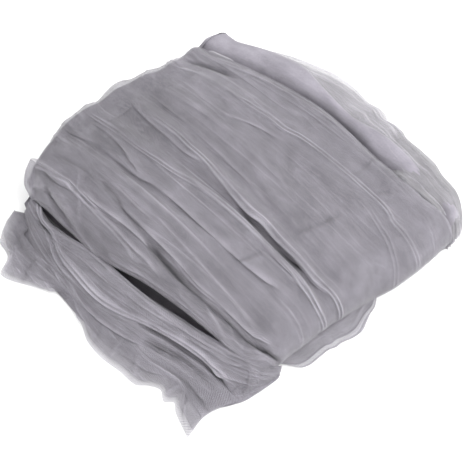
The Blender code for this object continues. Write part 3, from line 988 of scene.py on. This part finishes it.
def build_heart():
    """The band's layers as one closed body."""
    rows = band_rows()
    first = np.array([row[0] for row in rows])
    second = np.array([row[1] for row in rows])
    loops = np.concatenate((first, second[:, ::-1]), axis=1)
    count, size = loops.shape[:2]
    index = np.arange(count * size).reshape(count, size)
    following = np.roll(index, -1, axis=1)
    faces = np.stack((index[:-1], index[1:], following[1:], following[:-1]), axis=2).reshape(-1, 4)
    caps = []
    half = size // 2
    for ring, flip in ((index[0], True), (index[-1], False)):
        for i in range(half - 1):
            quad = [ring[i], ring[i + 1], ring[size - 2 - i], ring[size - 1 - i]]
            caps.append(quad[::-1] if flip else quad)
    faces = np.concatenate((faces, np.array(caps)))
    steps = np.linalg.norm(np.diff(loops[:, half // 2], axis=0), axis=1)
    along = np.concatenate(([0.0], np.cumsum(steps)))
    uv = np.stack(np.broadcast_arrays(along[:, None], loops[:, :, 1]), axis=2)
    x, y, z = np.moveaxis(loops, 2, 0)
    slot = smooth(*SLOT_INSIDE, y - station("lip", x)) * (1.0 - smooth(*SLOT_FAR, y))
    slot = slot * (1.0 - smooth(*SLOT_HIGH, z)) * (1.0 - smooth(*SLOT_END, x))
    puffed = smooth(*PUFF_LIT, y - station("cover_right", x))
    # Painted shade in the slot and the gutter, and painted light on the puffed side.
    dark = np.maximum(SLOT_SHADE * slot, (gutter(x, y) / GUTTER_FULL) ** 2)
    tone = PUFF_LIGHT * puffed - dark
    return mesh_object("net_heart", loops.reshape(-1, 3), faces, uv.reshape(-1, 2), dense, tone)


# Rows and columns of points on each kind of sheet.
GRIDS = {
    "cover_cloth": (205, 470),
    "cover_veil": (205, 430),
    "end_veil": (60, 130),
    "front_cloth": (230, 200),
    "front_veil": (210, 150),
    "flap": (216, 56),
    "tuft": (60, 36),
    "puff": (144, 102),
    "toe": (90, 40),
}

# Scattered pleats. Columns: seed, count, ranges along and across the sheet, then the
# ranges of half length, width, height and lean.
PLEATS = {
    "cover_cloth": (11, 150, (-20, 480), (-140, 178), (50, 160), (1.6, 5.0), (0.15, 0.9), (-1.2, 0.8)),
    "cover_veil": (12, 150, (-20, 480), (-140, 178), (60, 220), (1.0, 2.0), (0.2, 1.4), (-1.6, 1.2)),
    "end_veil": (81, 24, (-40, 34), (-80, 116), (15, 50), (1.4, 4.0), (0.2, 1.2), (-1.0, 1.0)),
    "front_cloth": (21, 60, (0, 400), (10, 70), (40, 140), (1.0, 3.0), (0.2, 1.3), (-1.0, 1.0)),
    "front_veil": (22, 70, (0, 400), (10, 70), (40, 150), (1.0, 1.8), (0.3, 1.3), (-1.2, 1.2)),
    "flap": (51, 40, (20, 390), (-215, -150), (15, 70), (1.3, 4.0), (0.3, 2.0), (-1.0, 1.0)),
    "tuft": (71, 8, (0, 60), (4, 28), (15, 40), (1.2, 2.5), (0.3, 1.0), (-0.6, 0.6)),
    "puff": (30, 44, (0, 380), (5, 98), (60, 180), (1.0, 4.0), (0.4, 2.6), (-1.2, 1.2)),
    "toe": (61, 12, (-70, 80), (5, 48), (15, 50), (1.5, 4.0), (0.3, 1.5), (-0.8, 0.8)),
}


def grid(kind, first_range, second_range):
    """Places along and across a sheet, at its rows and columns of points."""
    rows, columns = GRIDS[kind]
    first = np.linspace(*first_range, rows)
    second = np.linspace(*second_range, columns)
    return np.meshgrid(first, second, indexing="ij")


def pleat_parts(kind, x, y, number=0):
    """Rise, shift and tone of a sheet's scattered pleats, drawn anew for each ply."""
    seed, *ranges = PLEATS[kind]
    return pleat_field(random_pleats(seed + number, *ranges), x, y)


# The cloth over the cover runs from the small fold at end A over the top and down round
# the outer turn at end B. Its two long edges roll under.
EDGE_ROLL = 1.7
COVER_TURN_LEFT = -116.0
COVER_TURN_RIGHT = 10.0
COVER_TURN_BLEND = (0.0, 0.1)
COVER_TURN_SWING = (0.3, 1.0)
UNDER_GAP = 0.7


def cover_edges(p):
    """The cover's left and right edge, and the nominal x, at places along its cloth."""
    x = BAND_START + np.clip(p / COVER_LENGTH, 0.0, 1.0) * (BAND_END - BAND_START)
    turn = np.clip((p - COVER_LENGTH) / TURN_LENGTH, 0.0, 1.0)
    blend = smooth(*COVER_TURN_BLEND, turn)
    turn_left = np.maximum(outer_turn_left(1.0 - turn), COVER_TURN_LEFT)
    left = station("lip", x) * (1.0 - blend) + turn_left * blend
    right = station("cover_right", x) + COVER_TURN_RIGHT * smooth(*COVER_TURN_SWING, turn)
    return x, left, right


def cover_across(p, share):
    """y on the unrolled cover cloth, for rows at p and columns at shares of the width."""
    x, left, right = cover_edges(p)
    inside = np.clip(share, 0.0, 1.0)
    y = across_cover(inside, x)
    flat_left = station("lip", x)[:, None]
    flat_right = station("cover_right", x)[:, None]
    width = (right - left)[:, None]
    y = left[:, None] + width * (y - flat_left) / (flat_right - flat_left)
    return y + (share - inside)[None, :] * width


def cover_surface(p, y):
    """Points on the cover's outer face, from grids of p along it and y on the cloth."""
    left, right = (np.broadcast_to(v[:, None], p.shape) for v in cover_edges(p[:, 0])[1:])
    over = np.maximum(left - y, 0.0) + np.maximum(y - right, 0.0)
    side = np.where(y < left, -1.0, 1.0)
    roll = np.clip(over / EDGE_ROLL, 0.0, math.pi)
    inward = np.maximum(over - math.pi * EDGE_ROLL, 0.0)
    held = np.clip(y, left, right) - side * inward
    start = layer_start(COVER, held)
    centre = turn_centre(held)
    x = start + np.clip(p / COVER_LENGTH, 0.0, 1.0) * (centre - start)
    level = stack(np.where(p >= COVER_LENGTH, BAND_END, x), held)[COVER]
    top = np.where(inward > 0.0, level[0] - UNDER_GAP + 2.0 * EDGE_ROLL, level[1])
    turn = np.clip((p - COVER_LENGTH) / TURN_LENGTH, 0.0, 1.0)
    top = np.where(turn > 0.0, level[1], top)
    radius = 0.5 * top
    angle = math.pi * turn
    bent = turn > 0.0
    z = np.where(bent, radius * (1.0 + np.cos(angle)), top)
    x = np.where(bent, centre + radius * np.sin(angle), x)
    back = np.clip(-p / END_FOLD_LENGTH, 0.0, 1.0) * math.pi
    levels = stack(start, held)
    fold_radius = 0.5 * (levels[COVER][1] - levels[FIFTH][0])
    z = np.where(p < 0.0, levels[COVER][1] - fold_radius * (1.0 - np.cos(back)), z)
    x = np.where(p < 0.0, start - fold_radius * np.sin(back), x)
    drop = EDGE_ROLL * (1.0 - np.cos(roll))
    y = held + np.where(over > 0.0, side * EDGE_ROLL * np.sin(roll), 0.0)
    z = z - drop * np.where(bent, np.cos(angle), 1.0)
    x = x - drop * np.where(bent, np.sin(angle), 0.0)
    return np.stack((x, y, z), axis=2)


def raised(surface, p, y, rise, shift, gap):
    """A grid of points on a surface, raised along its normals and moved across it."""
    return surface(p, y + shift) + upward_normals(surface(p, y)) * (rise + gap)[:, :, None]


# Painted light and shade over the cover near end A: painted shade towards its front and painted light at
# its back.
TONE_FADE = (50.0, 190.0)
BACK_LIGHT = 0.14
BACK_REACH = (40.0, 110.0)
FRONT_DARK = 0.28
FRONT_REACH = (-110.0, -60.0)
FRONT_STOP = (20.0, 90.0)
# Small pleats are calmer on the right and near end B.
CALM_RIGHT = 0.5
CALM_RIGHT_REACH = (-30.0, 30.0)
CALM_END = 0.35
CALM_END_REACH = (330.0, 400.0)


def painted_end_a_light(p, y):
    """How much painted shade or painted light the cover has near end A."""
    light = BACK_LIGHT * smooth(*BACK_REACH, y)
    dark = FRONT_DARK * smooth(*FRONT_REACH, y) * (1.0 - smooth(*FRONT_STOP, y))
    return (1.0 - smooth(*TONE_FADE, p)) * (light - dark)


def build_cover_cloth(name, material, gap, overrun):
    """One ply of cloth over the cover, with the listed creases and its pleats."""
    rows, columns = GRIDS[name]
    p = np.linspace(-END_FOLD_LENGTH, COVER_LENGTH + TURN_LENGTH, rows)
    y = cover_across(p, np.linspace(-overrun[0], 1.0 + overrun[1], columns))
    p = np.broadcast_to(p[:, None], y.shape)
    rise, shift, tone = crease_field(COVER_CREASES, p, y)
    soft_rise, soft_tone = soft_field(p, y)
    calm = 1.0 - CALM_RIGHT * smooth(*CALM_RIGHT_REACH, y) - CALM_END * smooth(*CALM_END_REACH, p)
    small_rise, small_shift, small_tone = (calm * part for part in pleat_parts(name, p, y))
    height = rise + soft_rise + small_rise
    points = raised(cover_surface, p, y, height, shift + small_shift, gap)
    tone = stronger(stronger(tone, soft_tone), small_tone) + painted_end_a_light(p, y)
    return sheet_object(name, points, material, tone)


# The loose ply round the small fold at end A: how far it stands off, by y.
END_VEIL_PLACES = (-80, -58, -40, -22, -8, 12, 34, 52, 76, 96, 116)
END_VEIL_LIFT = (0.8, 2.6, 1.6, 3.4, 1.6, 4.6, 6.0, 2.4, 3.6, 2.2, 0.8)
END_VEIL_SPAN = (-40.0, 34.0)
END_VEIL_CREST = -14.0
END_VEIL_SPREAD = 22.0
END_VEIL_GAP = 2.0


def build_end_veil(name, material):
    """The loose sheer ply round the fold at end A."""
    p, y = grid(name, END_VEIL_SPAN, (END_VEIL_PLACES[0], END_VEIL_PLACES[-1]))
    rise, shift, tone = pleat_parts(name, p, y)
    near = np.exp(-((p - END_VEIL_CREST) / END_VEIL_SPREAD) ** 2)
    lift = curve_value(END_VEIL_PLACES, END_VEIL_LIFT, y) * near
    points = raised(cover_surface, p, y, rise + lift, shift, END_VEIL_GAP)
    return sheet_object(name, points, material, tone)


# The front cloth, given point by point: the rolls under the slot, which run together past the end of
# the slot and round the front corner. Each row goes from inside the slot to the floor.
# Columns: tuck, crest, upper, lower, foot, floor.
FRONT = np.array((
    ((44, -131, 16), (44, -134, 25), (44, -137, 22), (43, -140, 17), (42, -143, 11), (41, -146, 6)),
    ((65, -132, 16), (65, -137, 26), (65, -143, 23), (65, -148, 18), (66, -153, 12), (67, -160, 4)),
    ((90, -136, 16), (90, -141, 27), (92, -146, 25), (92, -154, 20), (92, -162, 12), (93, -172, 2)),
    ((123, -133, 18), (123, -138, 29), (123, -148, 26), (123, -157, 20), (123, -167, 10), (123, -178, 1)),
    ((160, -126, 21), (160, -130, 32), (158, -144, 27), (158, -157, 20), (158, -169, 10), (158, -180, 1)),
    ((200, -125, 20), (200, -129, 31), (200, -143, 26), (200, -157, 19), (200, -170, 9), (200, -182, 1)),
    ((240, -122, 20), (240, -126, 31), (238, -139, 26), (236, -152, 19), (236, -165, 9), (236, -178, 1)),
    ((275, -116, 20), (275, -120, 30), (272, -133, 25), (270, -145, 18), (272, -157, 9), (274, -170, 1)),
    ((312, -108, 19), (312, -112, 28), (308, -124, 23), (306, -135, 16), (309, -147, 8), (312, -160, 1)),
    ((343, -99, 20), (343, -103, 29), (348, -115, 21), (354, -126, 13), (361, -137, 6), (368, -149, 1)),
    ((360, -96, 25), (360, -100, 32), (369, -108, 23), (376, -115, 14), (381, -121, 6), (385, -127, 1)),
    ((377, -91, 29), (377, -95, 34), (382, -99, 25), (386, -102, 15), (388, -104, 7), (389, -106, 1)),
    ((388, -81, 23), (388, -84, 27), (389, -85, 19), (390, -86, 11), (390, -87, 5), (390, -88, 1)),
    ((389, -71, 15), (390, -73, 17), (390, -74, 13), (390, -75, 9), (390, -76, 5), (390, -77, 1)),
), float)
FRONT_LENGTH = 400.0
FRONT_WIDTH = 70.0
# Its creases, by places along the net and across it from the tuck.
# Columns: places, width, height, lean, pair.
FRONT_CREASES = (
    (((10, 9), (51, 21), (74, 24), (88, 32), (104, 39), (123, 41), (156, 42), (181, 41), (202, 37),
      (222, 34), (259, 33), (273, 36), (300, 42)), 1.7, 3.4, 0.8, 3.6),
    (((40, 27), (74, 37), (93, 45), (112, 48), (132, 48), (152, 48), (190, 46)), 1.4, 2.0, 0.7, 0.0),
    (((85, 57), (113, 57), (136, 57), (182, 58), (220, 57)), 1.6, 1.8, 0.7, 0.0),
    (((200, 42), (226, 39), (252, 39), (264, 38), (272, 40), (282, 44), (300, 58)), 2.2, -5.5, 0.0, 0.0),
    (((214, 51), (238, 52), (254, 49), (272, 49)), 3.6, -4.0, 0.0, 0.0),
    (((118, 28), (134, 20), (156, 17)), 1.4, -1.8, 0.0, 0.0),
    (((118, 27), (147, 25), (169, 23), (200, 22), (232, 22)), 1.2, 1.5, 0.8, 2.8),
    (((130, 14), (152, 15), (176, 16), (209, 17), (250, 17)), 1.1, 1.6, 0.6, 2.6),
    (((250, 17), (278, 18), (306, 18), (336, 19), (375, 24)), 1.2, 1.8, 0.6, 0.0),
    (((240, 23), (280, 23), (326, 24), (372, 32)), 1.2, 1.7, 0.7, 2.8),
    (((255, 44), (284, 38), (315, 40), (352, 50)), 1.4, 1.6, 0.8, 0.0),
    (((256, 51), (269, 53), (276, 56), (290, 61), (304, 66)), 1.8, -3.0, 0.0, 0.0),
    (((270, 28), (300, 30), (340, 34), (374, 42)), 1.3, 1.4, 0.7, 3.0),
    (((36, 30), (55, 30), (76, 29)), 2.0, -3.0, 0.0, 0.0),
)
TUCK_HELD = 4.0
TUCK_DARK = 9.0
TUCK_SHADE = 12.5


def smooth_net(net, u, v):
    """A smooth face through a small net of points, at shares u and v."""
    rows, columns = net.shape[:2]
    at_v = np.linspace(0.0, 1.0, columns)
    position = np.clip(u, 0.0, 1.0) * (rows - 1)
    low = np.clip(np.floor(position).astype(int), 0, rows - 2)
    nearby = (np.maximum(low - 1, 0), low, low + 1, np.minimum(low + 2, rows - 1))
    t = position - low
    parts = []
    for k in range(3):
        across = np.array([curve_value(at_v, net[i, :, k], v) for i in range(rows)])
        a, b, c, d = (np.take_along_axis(across, index[None], axis=0)[0] for index in nearby)
        value = b * (1 + 2 * t) * (1 - t) ** 2 + c * t * t * (3 - 2 * t)
        value = value + 0.5 * (c - a) * t * (1 - t) ** 2 - 0.5 * (d - b) * t * t * (1 - t)
        parts.append(value)
    return np.stack(parts, axis=2)


def build_front_cloth(name, material, gap, first):
    """One ply of the front cloth, from the share first across it down to the floor."""
    u, v = grid(name, (0.0, 1.0), (first, 1.0))
    along, across = u * FRONT_LENGTH, v * FRONT_WIDTH
    rise, shift, tone = crease_field(FRONT_CREASES, along, across)
    small_rise, small_shift, small_tone = pleat_parts(name, along, across)
    moved = np.clip(v + (shift + small_shift) / FRONT_WIDTH, 0.0, 1.0)
    held = smooth(TUCK_HELD, TUCK_SHADE, across)
    height = held * (rise + small_rise) + gap
    normals = upward_normals(smooth_net(FRONT, u, v))
    points = smooth_net(FRONT, u, moved) + normals * height[:, :, None]
    inside = 1.0 - smooth(TUCK_DARK, TUCK_SHADE, across)
    tone = stronger(tone, small_tone) * (1.0 - inside) - SLOT_SHADE * inside
    return sheet_object(name, points, material, tone)


# A small loose ply that stands out of the left side above the slot, from inside to its
# edge and a little back beneath.
TUFT = np.array((
    ((28, -101, 49), (18, -105, 51), (11, -109, 49), (17, -106, 45)),
    ((44, -107, 44), (30, -114, 47), (19, -122, 45), (26, -118, 40)),
    ((55, -114, 38), (40, -123, 41), (29, -132, 38), (36, -127, 33)),
    ((59, -122, 33), (48, -130, 36), (39, -135, 33), (46, -131, 28)),
    ((60, -129, 28), (53, -133, 30), (47, -136, 28), (52, -133, 24)),
), float)
TUFT_LENGTH = 60.0
TUFT_WIDTH = 32.0


def build_tuft(name, material):
    """The small loose ply at the left."""
    u, v = grid("tuft", (0.0, 1.0), (0.0, 1.0))
    rise, shift, tone = pleat_parts("tuft", u * TUFT_LENGTH, v * TUFT_WIDTH)
    flat = smooth_net(TUFT, u, v)
    return sheet_object(name, flat + grid_normals(flat) * rise[:, :, None], material, tone)


# The sheer flaps that lie on the floor in front of the rolls, as plies that reach
# different shares of the way from the foot to the flap's edge.
# Columns: name, reach, lift.
FLAPS = (
    ("flap_ply_1", 1.0, 1.0),
    ("flap_ply_2", 0.86, 2.2),
    ("flap_ply_3", 0.62, 3.4),
)
# The flaps' outer edge, as x and y.
FLAP_EDGE = (
    (31, -154), (36, -166), (44, -178), (57, -189), (70, -191), (80, -195), (94, -213),
    (135, -194), (170, -177), (209, -187), (228, -194), (254, -195), (279, -191), (301, -189),
    (313, -180), (327, -174), (337, -180), (347, -173), (354, -179), (366, -183), (381, -188),
)
FLAP_SPAN = (31.0, 381.0)
FLAP_TUCK = 4.0
# Where the flaps end near the front corner, by y.
FLAP_END_PLACES = (-190, -158, -128)
FLAP_END = (382, 375, 386)
# Height of the floor ply at its outer edge, and how it rises to the foot.
FLAP_FLOOR = 0.8
FLAP_RISE = 5.0
FLAP_SLOPE = (-30.0, 4.0)
# The top of the ear at end A, past the foot.
EAR_PLACES = (31, 36, 41, 51, 60, 76)
EAR_TOP = (-153, -150, -147, -143, -141, -190)
EAR_SHADE = 0.34
EAR_STOP = (60.0, 120.0)
EAR_INNER = (0.2, 0.55)
FLAP_CREASES = (
    (((300, -158), (322, -154), (340, -151), (356, -152), (374, -156)), 1.8, -3.0, 0.0, 0.0),
    (((280, -167), (291, -164), (310, -159), (329, -155), (344, -158)), 1.6, 2.6, 0.6, 0.0),
    (((60, -176), (95, -190), (130, -186), (165, -174)), 2.2, 2.0, 0.7, 0.0),
    (((50, -164), (85, -177), (120, -176)), 3.0, -2.4, 0.0, 0.0),
)
# Wrinkles that run out across the flaps: places by y, then x.
FLAP_WRINKLES = (
    (((-190, 383), (-172, 357), (-154, 336)), 1.8, 3.0, 0.6, 0.0),
    (((-184, 366), (-168, 352), (-152, 341)), 1.6, -2.4, 0.0, 0.0),
    (((-178, 328), (-166, 331), (-150, 336)), 1.5, 2.4, -0.6, 0.0),
    (((-192, 300), (-176, 286), (-160, 276)), 2.0, 2.4, 0.7, 3.6),
    (((-194, 262), (-178, 256), (-162, 252)), 1.6, 1.8, 0.6, 0.0),
    (((-192, 236), (-176, 226), (-164, 220)), 2.4, -2.0, 0.0, 0.0),
    (((-188, 212), (-176, 204), (-166, 200)), 1.6, 1.8, 0.6, 0.0),
    (((-212, 98), (-196, 84), (-172, 72)), 2.0, 2.4, 0.6, 0.0),
    (((-204, 120), (-190, 112), (-174, 104)), 2.4, -2.0, 0.0, 0.0),
)


def flap_surface(x, y):
    """Points on the floor under the flaps, a little raised towards the foot."""
    slope = smooth(*FLAP_SLOPE, y - station("foot", x))
    return np.stack((x, y, FLAP_FLOOR + FLAP_RISE * slope), axis=2)


def build_flap(number, name, material, reach, lift):
    """One sheer ply of the flap along the floor."""
    rows, columns = GRIDS["flap"]
    x = np.linspace(*FLAP_SPAN, rows)
    inner = np.maximum(station("foot", x) + FLAP_TUCK, curve_value(EAR_PLACES, EAR_TOP, x))
    outer = curve_value(*zip(*FLAP_EDGE), x)
    share = np.linspace(0.0, 1.0, columns)
    edge = inner + (outer - inner) * reach
    y = inner[:, None] + (edge - inner)[:, None] * share
    stop = curve_value(FLAP_END_PLACES, FLAP_END, y)
    x = FLAP_SPAN[0] + (stop - FLAP_SPAN[0]) * np.linspace(0.0, 1.0, rows)[:, None]
    rise, shift, tone = crease_field(FLAP_CREASES, x, y)
    wrinkle_rise, wrinkle_shift, wrinkle_tone = crease_field(FLAP_WRINKLES, y, x)
    small_rise, small_shift, small_tone = pleat_parts("flap", x, y, number)
    moved = flap_surface(x + wrinkle_shift, y + shift + small_shift)
    height = rise + wrinkle_rise + small_rise + lift
    points = moved + upward_normals(flap_surface(x, y)) * height[:, :, None]
    shaded = (1.0 - smooth(*EAR_STOP, x)) * (1.0 - smooth(*EAR_INNER, share))
    tone = stronger(stronger(tone, wrinkle_tone), small_tone) - EAR_SHADE * shaded
    return sheet_object(name, points, material, tone)


# The puffed fold along the right, which stands out past the cover as several plies. Its
# section, by shares: how far out from the gutter, and how high against its crown.
PUFF_UNDER = 1.0
PUFF_SECTION = (0.0, 0.1, 0.3, 0.55, 0.75, 0.88, 0.96, 1.0)
PUFF_OUT = (0.0, 0.1, 0.36, 0.66, 0.86, 0.96, 1.0, 0.93)
PUFF_HIGH = (0.5, 0.86, 1.0, 0.9, 0.68, 0.42, 0.18, 0.02)
PUFF_CROWN_PLACES = (28.0, 120.0, 200.0, 280.0, 330.0, 360.0)
PUFF_CROWN = (60.0, 70.0, 71.0, 66.0, 58.0, 48.0)
# Columns: name, inset, how much lower, flat width in metres.
PUFF_PLIES = (
    ("puff_ply_1", 0.0, 0.0, 0.15),
    ("puff_ply_2", 6.0, 1.5, 0.15),
    ("puff_ply_3", 12.0, 3.0, 0.14),
    ("puff_ply_4", 19.0, 4.5, 0.14),
    ("puff_ply_5", 27.0, 6.0, 0.13),
    ("puff_ply_6", 35.0, 7.5, 0.13),
)
# The lobes of its edge, and how its two ends round off.
LOBE_PLACES = (28, 56, 90, 120, 150, 180, 203, 221, 232, 250, 262, 285, 306, 320, 345, 360)
LOBE_OUT = (0.0, -2.0, 3.0, 0.0, 4.0, 2.0, -2.0, 4.0, -4.0, 2.0, -2.0, 0.0, 2.0, -1.5, 1.0, 0.0)
PUFF_ROUND_A = 0.06
PUFF_ROUND_B = 0.07
PUFF_FALL_A = 0.96
PUFF_FALL_B = 0.88
PUFF_NARROW_A = 0.2
PUFF_NARROW_B = 0.25
PUFF_INSET_A = 3.0
PUFF_OUTSET_B = 1.0
PUFF_RIM_B = 10.0
PUFF_MOUTH_B = 12.0
# How high its inner edge starts in the gutter.
MOUTH_PLACES = (28, 80, 130, 187, 236, 282, 298, 311, 330, 360)
MOUTH_HIGH = (0.95, 0.75, 0.7, 0.5, 0.4, 0.6, 0.9, 0.7, 0.92, 0.95)
MOUTH_REACH = 6.0
MOUTH_CLOSED = (0.5, 0.95)
# Where the puffed side turns darker and denser towards end B, and how much. It also turns a little darker
# from about a third of the way along.
PUFF_STEP = (0.72, 0.77)
STEP_SLANT = 0.1
STEP_SHIFT = 0.002
PUFF_DENSE = 0.34
PUFF_HALFWAY = (0.3, 0.55)
PUFF_MIDDLE = 0.14
PUFF_LENGTH = 360.0
PUFF_ACROSS = 100.0
AIRY_PLIES = 3


def puff_surface(p, v):
    """Points over the puffed fold: p is the share along it and v the share across it."""
    x_nominal = BAND_START + p * (BAND_END - BAND_START)
    near_a = np.clip(1.0 - p / PUFF_ROUND_A, 0.0, 1.0)
    near_b = np.clip((p - 1.0 + PUFF_ROUND_B) / PUFF_ROUND_B, 0.0, 1.0)
    round_a = np.sqrt(1.0 - PUFF_FALL_A * near_a ** 2)
    round_b = np.sqrt(1.0 - PUFF_FALL_B * near_b ** 2)
    mouth = curve_value(MOUTH_PLACES, MOUTH_HIGH, x_nominal)
    inner = station("cover_right", x_nominal) + PUFF_UNDER
    inner = inner - MOUTH_REACH * smooth(*MOUTH_CLOSED, mouth)
    outer = station("puff_right", x_nominal) + curve_value(LOBE_PLACES, LOBE_OUT, x_nominal)
    reach = curve_value(PUFF_SECTION, PUFF_OUT, v)
    reach = reach * (1.0 - PUFF_NARROW_A * (1.0 - round_a)) * (1.0 - PUFF_NARROW_B * (1.0 - round_b))
    y = inner + reach * (outer - inner)
    start = end_value("end_a", y) + PUFF_INSET_A
    stop = end_value("end_b", y) + PUFF_OUTSET_B - PUFF_RIM_B * smooth(0.5, 1.0, v)
    drawn_in = PUFF_MOUTH_B * near_b ** 2 * (1.0 - smooth(0.0, 0.35, v))
    x = start + p * (stop - start) - drawn_in
    crown = curve_value(PUFF_CROWN_PLACES, PUFF_CROWN, x_nominal)
    high = curve_value(PUFF_SECTION, PUFF_HIGH, v)
    high = high + (mouth - PUFF_HIGH[0]) * (1.0 - smooth(0.0, 0.2, v))
    z = crown * high * round_a * round_b
    return np.stack((x, y, z), axis=2)


def build_puff_ply(number, name, material, inset, lower):
    """One sheer ply over the puffed fold."""
    angle, v = grid("puff", (0.0, math.pi), (0.0, 1.0))
    p = 0.5 - 0.5 * np.cos(angle)
    rise, shift, tone = pleat_parts("puff", p * PUFF_LENGTH, v * PUFF_ACROSS, number)
    step = p + STEP_SLANT * v + STEP_SHIFT * inset
    tone = tone - PUFF_MIDDLE * smooth(*PUFF_HALFWAY, p)
    tone = tone - PUFF_DENSE * smooth(*PUFF_STEP, step)
    base = puff_surface(p, np.clip(v + shift / PUFF_ACROSS, 0.0, 1.0))
    base[:, :, 1] -= inset * v
    base[:, :, 2] -= lower
    points = base + upward_normals(puff_surface(p, v)) * rise[:, :, None]
    return sheet_object(name, points, material, tone)


# The sheer toe that lies out from under the outer turn: its section from under the turn
# out to its edge and a little back beneath, along the front of end B.
TOE_RING = (0.0, 0.25, 0.55, 0.8, 0.94, 1.0)
TOE_OUT = (-0.1, 0.3, 0.62, 0.88, 1.0, 0.94)
TOE_HIGH = (13.0, 11.0, 8.0, 5.0, 2.4, 0.7)
TOE_ROOT = -12.0
TOE_FOOT = 0.36
TOE_SPAN = (-74.0, 80.0)
TOE_ACROSS = 50.0
TOE_LEAST = 0.5
TOE_FULL = 14.0
# Columns: name, share of the reach, how much lower.
TOE_PLIES = (
    ("toe_ply_1", 1.0, 0.0),
    ("toe_ply_2", 0.8, 1.6),
)


def build_toe(number, name, material, reach_share, lower):
    """One sheer ply of the toe."""
    y, v = grid("toe", TOE_SPAN, (0.0, 1.0))
    reach = np.maximum(curve_value(TOE_PLACES, TOE_REACH, y) * reach_share, TOE_LEAST)
    foot = turn_centre(y) + TOE_FOOT * (end_value("end_b", y) - turn_centre(y))
    x = foot + TOE_ROOT + curve_value(TOE_RING, TOE_OUT, v) * (reach - TOE_ROOT)
    z = curve_value(TOE_RING, TOE_HIGH, v) * smooth(0.0, TOE_FULL, reach) - lower
    flat = np.stack((x, y, z), axis=2)
    rise, shift, tone = pleat_parts("toe", y, v * TOE_ACROSS, number)
    points = flat + upward_normals(flat) * rise[:, :, None]
    return sheet_object(name, points, material, tone)


# The gaps are how far each ply stands off. The overruns are shares of the width by which a
# ply goes past the cover's left and right edge.
heart = build_heart()
cover_cloth = build_cover_cloth("cover_cloth", dense, gap=0.4, overrun=(0.055, 0.035))
cover_veil = build_cover_cloth("cover_veil", sheer, gap=1.5, overrun=(0.012, 0.01))
end_veil = build_end_veil("end_veil", sheer)
front_cloth = build_front_cloth("front_cloth", dense, gap=0.3, first=0.0)
front_veil = build_front_cloth("front_veil", sheer, gap=1.3, first=0.17)
flap_plies = []
for number, (name, reach, lift) in enumerate(FLAPS):
    flap_plies.append(build_flap(number, name, sheer, reach, lift))
tuft_ply = build_tuft("tuft_ply", sheer)
puff_plies = []
for number, (name, inset, lower, width) in enumerate(PUFF_PLIES):
    material = airy_lit if number < AIRY_PLIES else sheer
    puff_plies.append(build_puff_ply(number, name, material, inset, lower))
toe_plies = []
for number, (name, reach_share, lower) in enumerate(TOE_PLIES):
    toe_plies.append(build_toe(number, name, sheer, reach_share, lower))


def declare(piece):
    """A sheet of the net that rides on its one body."""
    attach(piece, "root")


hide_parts("net")
declare(heart)
declare(cover_cloth)
declare(cover_veil)
declare(front_cloth)
declare(front_veil)
for piece, row in zip(puff_plies, PUFF_PLIES):
    declare(piece)
for piece in toe_plies:
    declare(piece)
declare(tuft_ply)
declare(end_veil)
for piece, width in zip(flap_plies, (0.036, 0.030, 0.022)):
    declare(piece)


FLOOR_REACH = 6.0
FLOOR_DROP = 0.0005
FLOOR_TINT = (0.9, 0.9, 0.9, 1.0)


def build_floor():
    """A plain pale floor."""
    mesh = bpy.data.meshes.new("floor")
    corners = [(x * FLOOR_REACH, y * FLOOR_REACH, 0.0) for x, y in ((-1, -1), (1, -1), (1, 1), (-1, 1))]
    mesh.from_pydata(corners, [], [(0, 1, 2, 3)])
    floor = bpy.data.objects.new("floor", mesh)
    floor.location.z = -FLOOR_DROP
    bpy.context.scene.collection.objects.link(floor)
    material = new_material("floor_white")
    surface = add(
        material, "ShaderNodeBsdfPrincipled", Base_Color=FLOOR_TINT, Roughness=0.9,
        Specular_IOR_Level=0.0,
    )
    output = add(material, "ShaderNodeOutputMaterial")
    join(material, surface.outputs[0], output.inputs["Surface"])
    mesh.materials.append(material)


# Light from all round, and one large lamp beyond end B that points at the origin.
WORLD_LIGHT = 1.3
LAMP_PLACE = (1.1, 0.3, 1.3)
LAMP_SIZE = 1.0
LAMP_POWER = 26.0


def build_lamp():
    """A soft square lamp."""
    data = bpy.data.lights.new("key", "AREA")
    data.energy = LAMP_POWER
    data.size = LAMP_SIZE
    lamp = bpy.data.objects.new("key", data)
    lamp.location = LAMP_PLACE
    x, y, z = LAMP_PLACE
    tilt = math.atan2(math.hypot(x, y), z)
    lamp.rotation_euler = (tilt, 0.0, math.atan2(-y, -x) - math.pi / 2.0)
    bpy.context.scene.collection.objects.link(lamp)


def build_studio():
    """The light from all round, the lamp and how light turns into tones."""
    world = bpy.data.worlds.new("studio")
    world.use_nodes = True
    bpy.context.scene.world = world
    background = world.node_tree.nodes["Background"]
    background.inputs["Color"].default_value = (1.0, 1.0, 1.0, 1.0)
    background.inputs["Strength"].default_value = WORLD_LIGHT
    build_lamp()
    bpy.context.scene.view_settings.view_transform = "Standard"


build_floor()
build_studio()


def plain(box):
    """A box's corners as plain numbers."""
    return [[float(value) for value in corner] for corner in box]
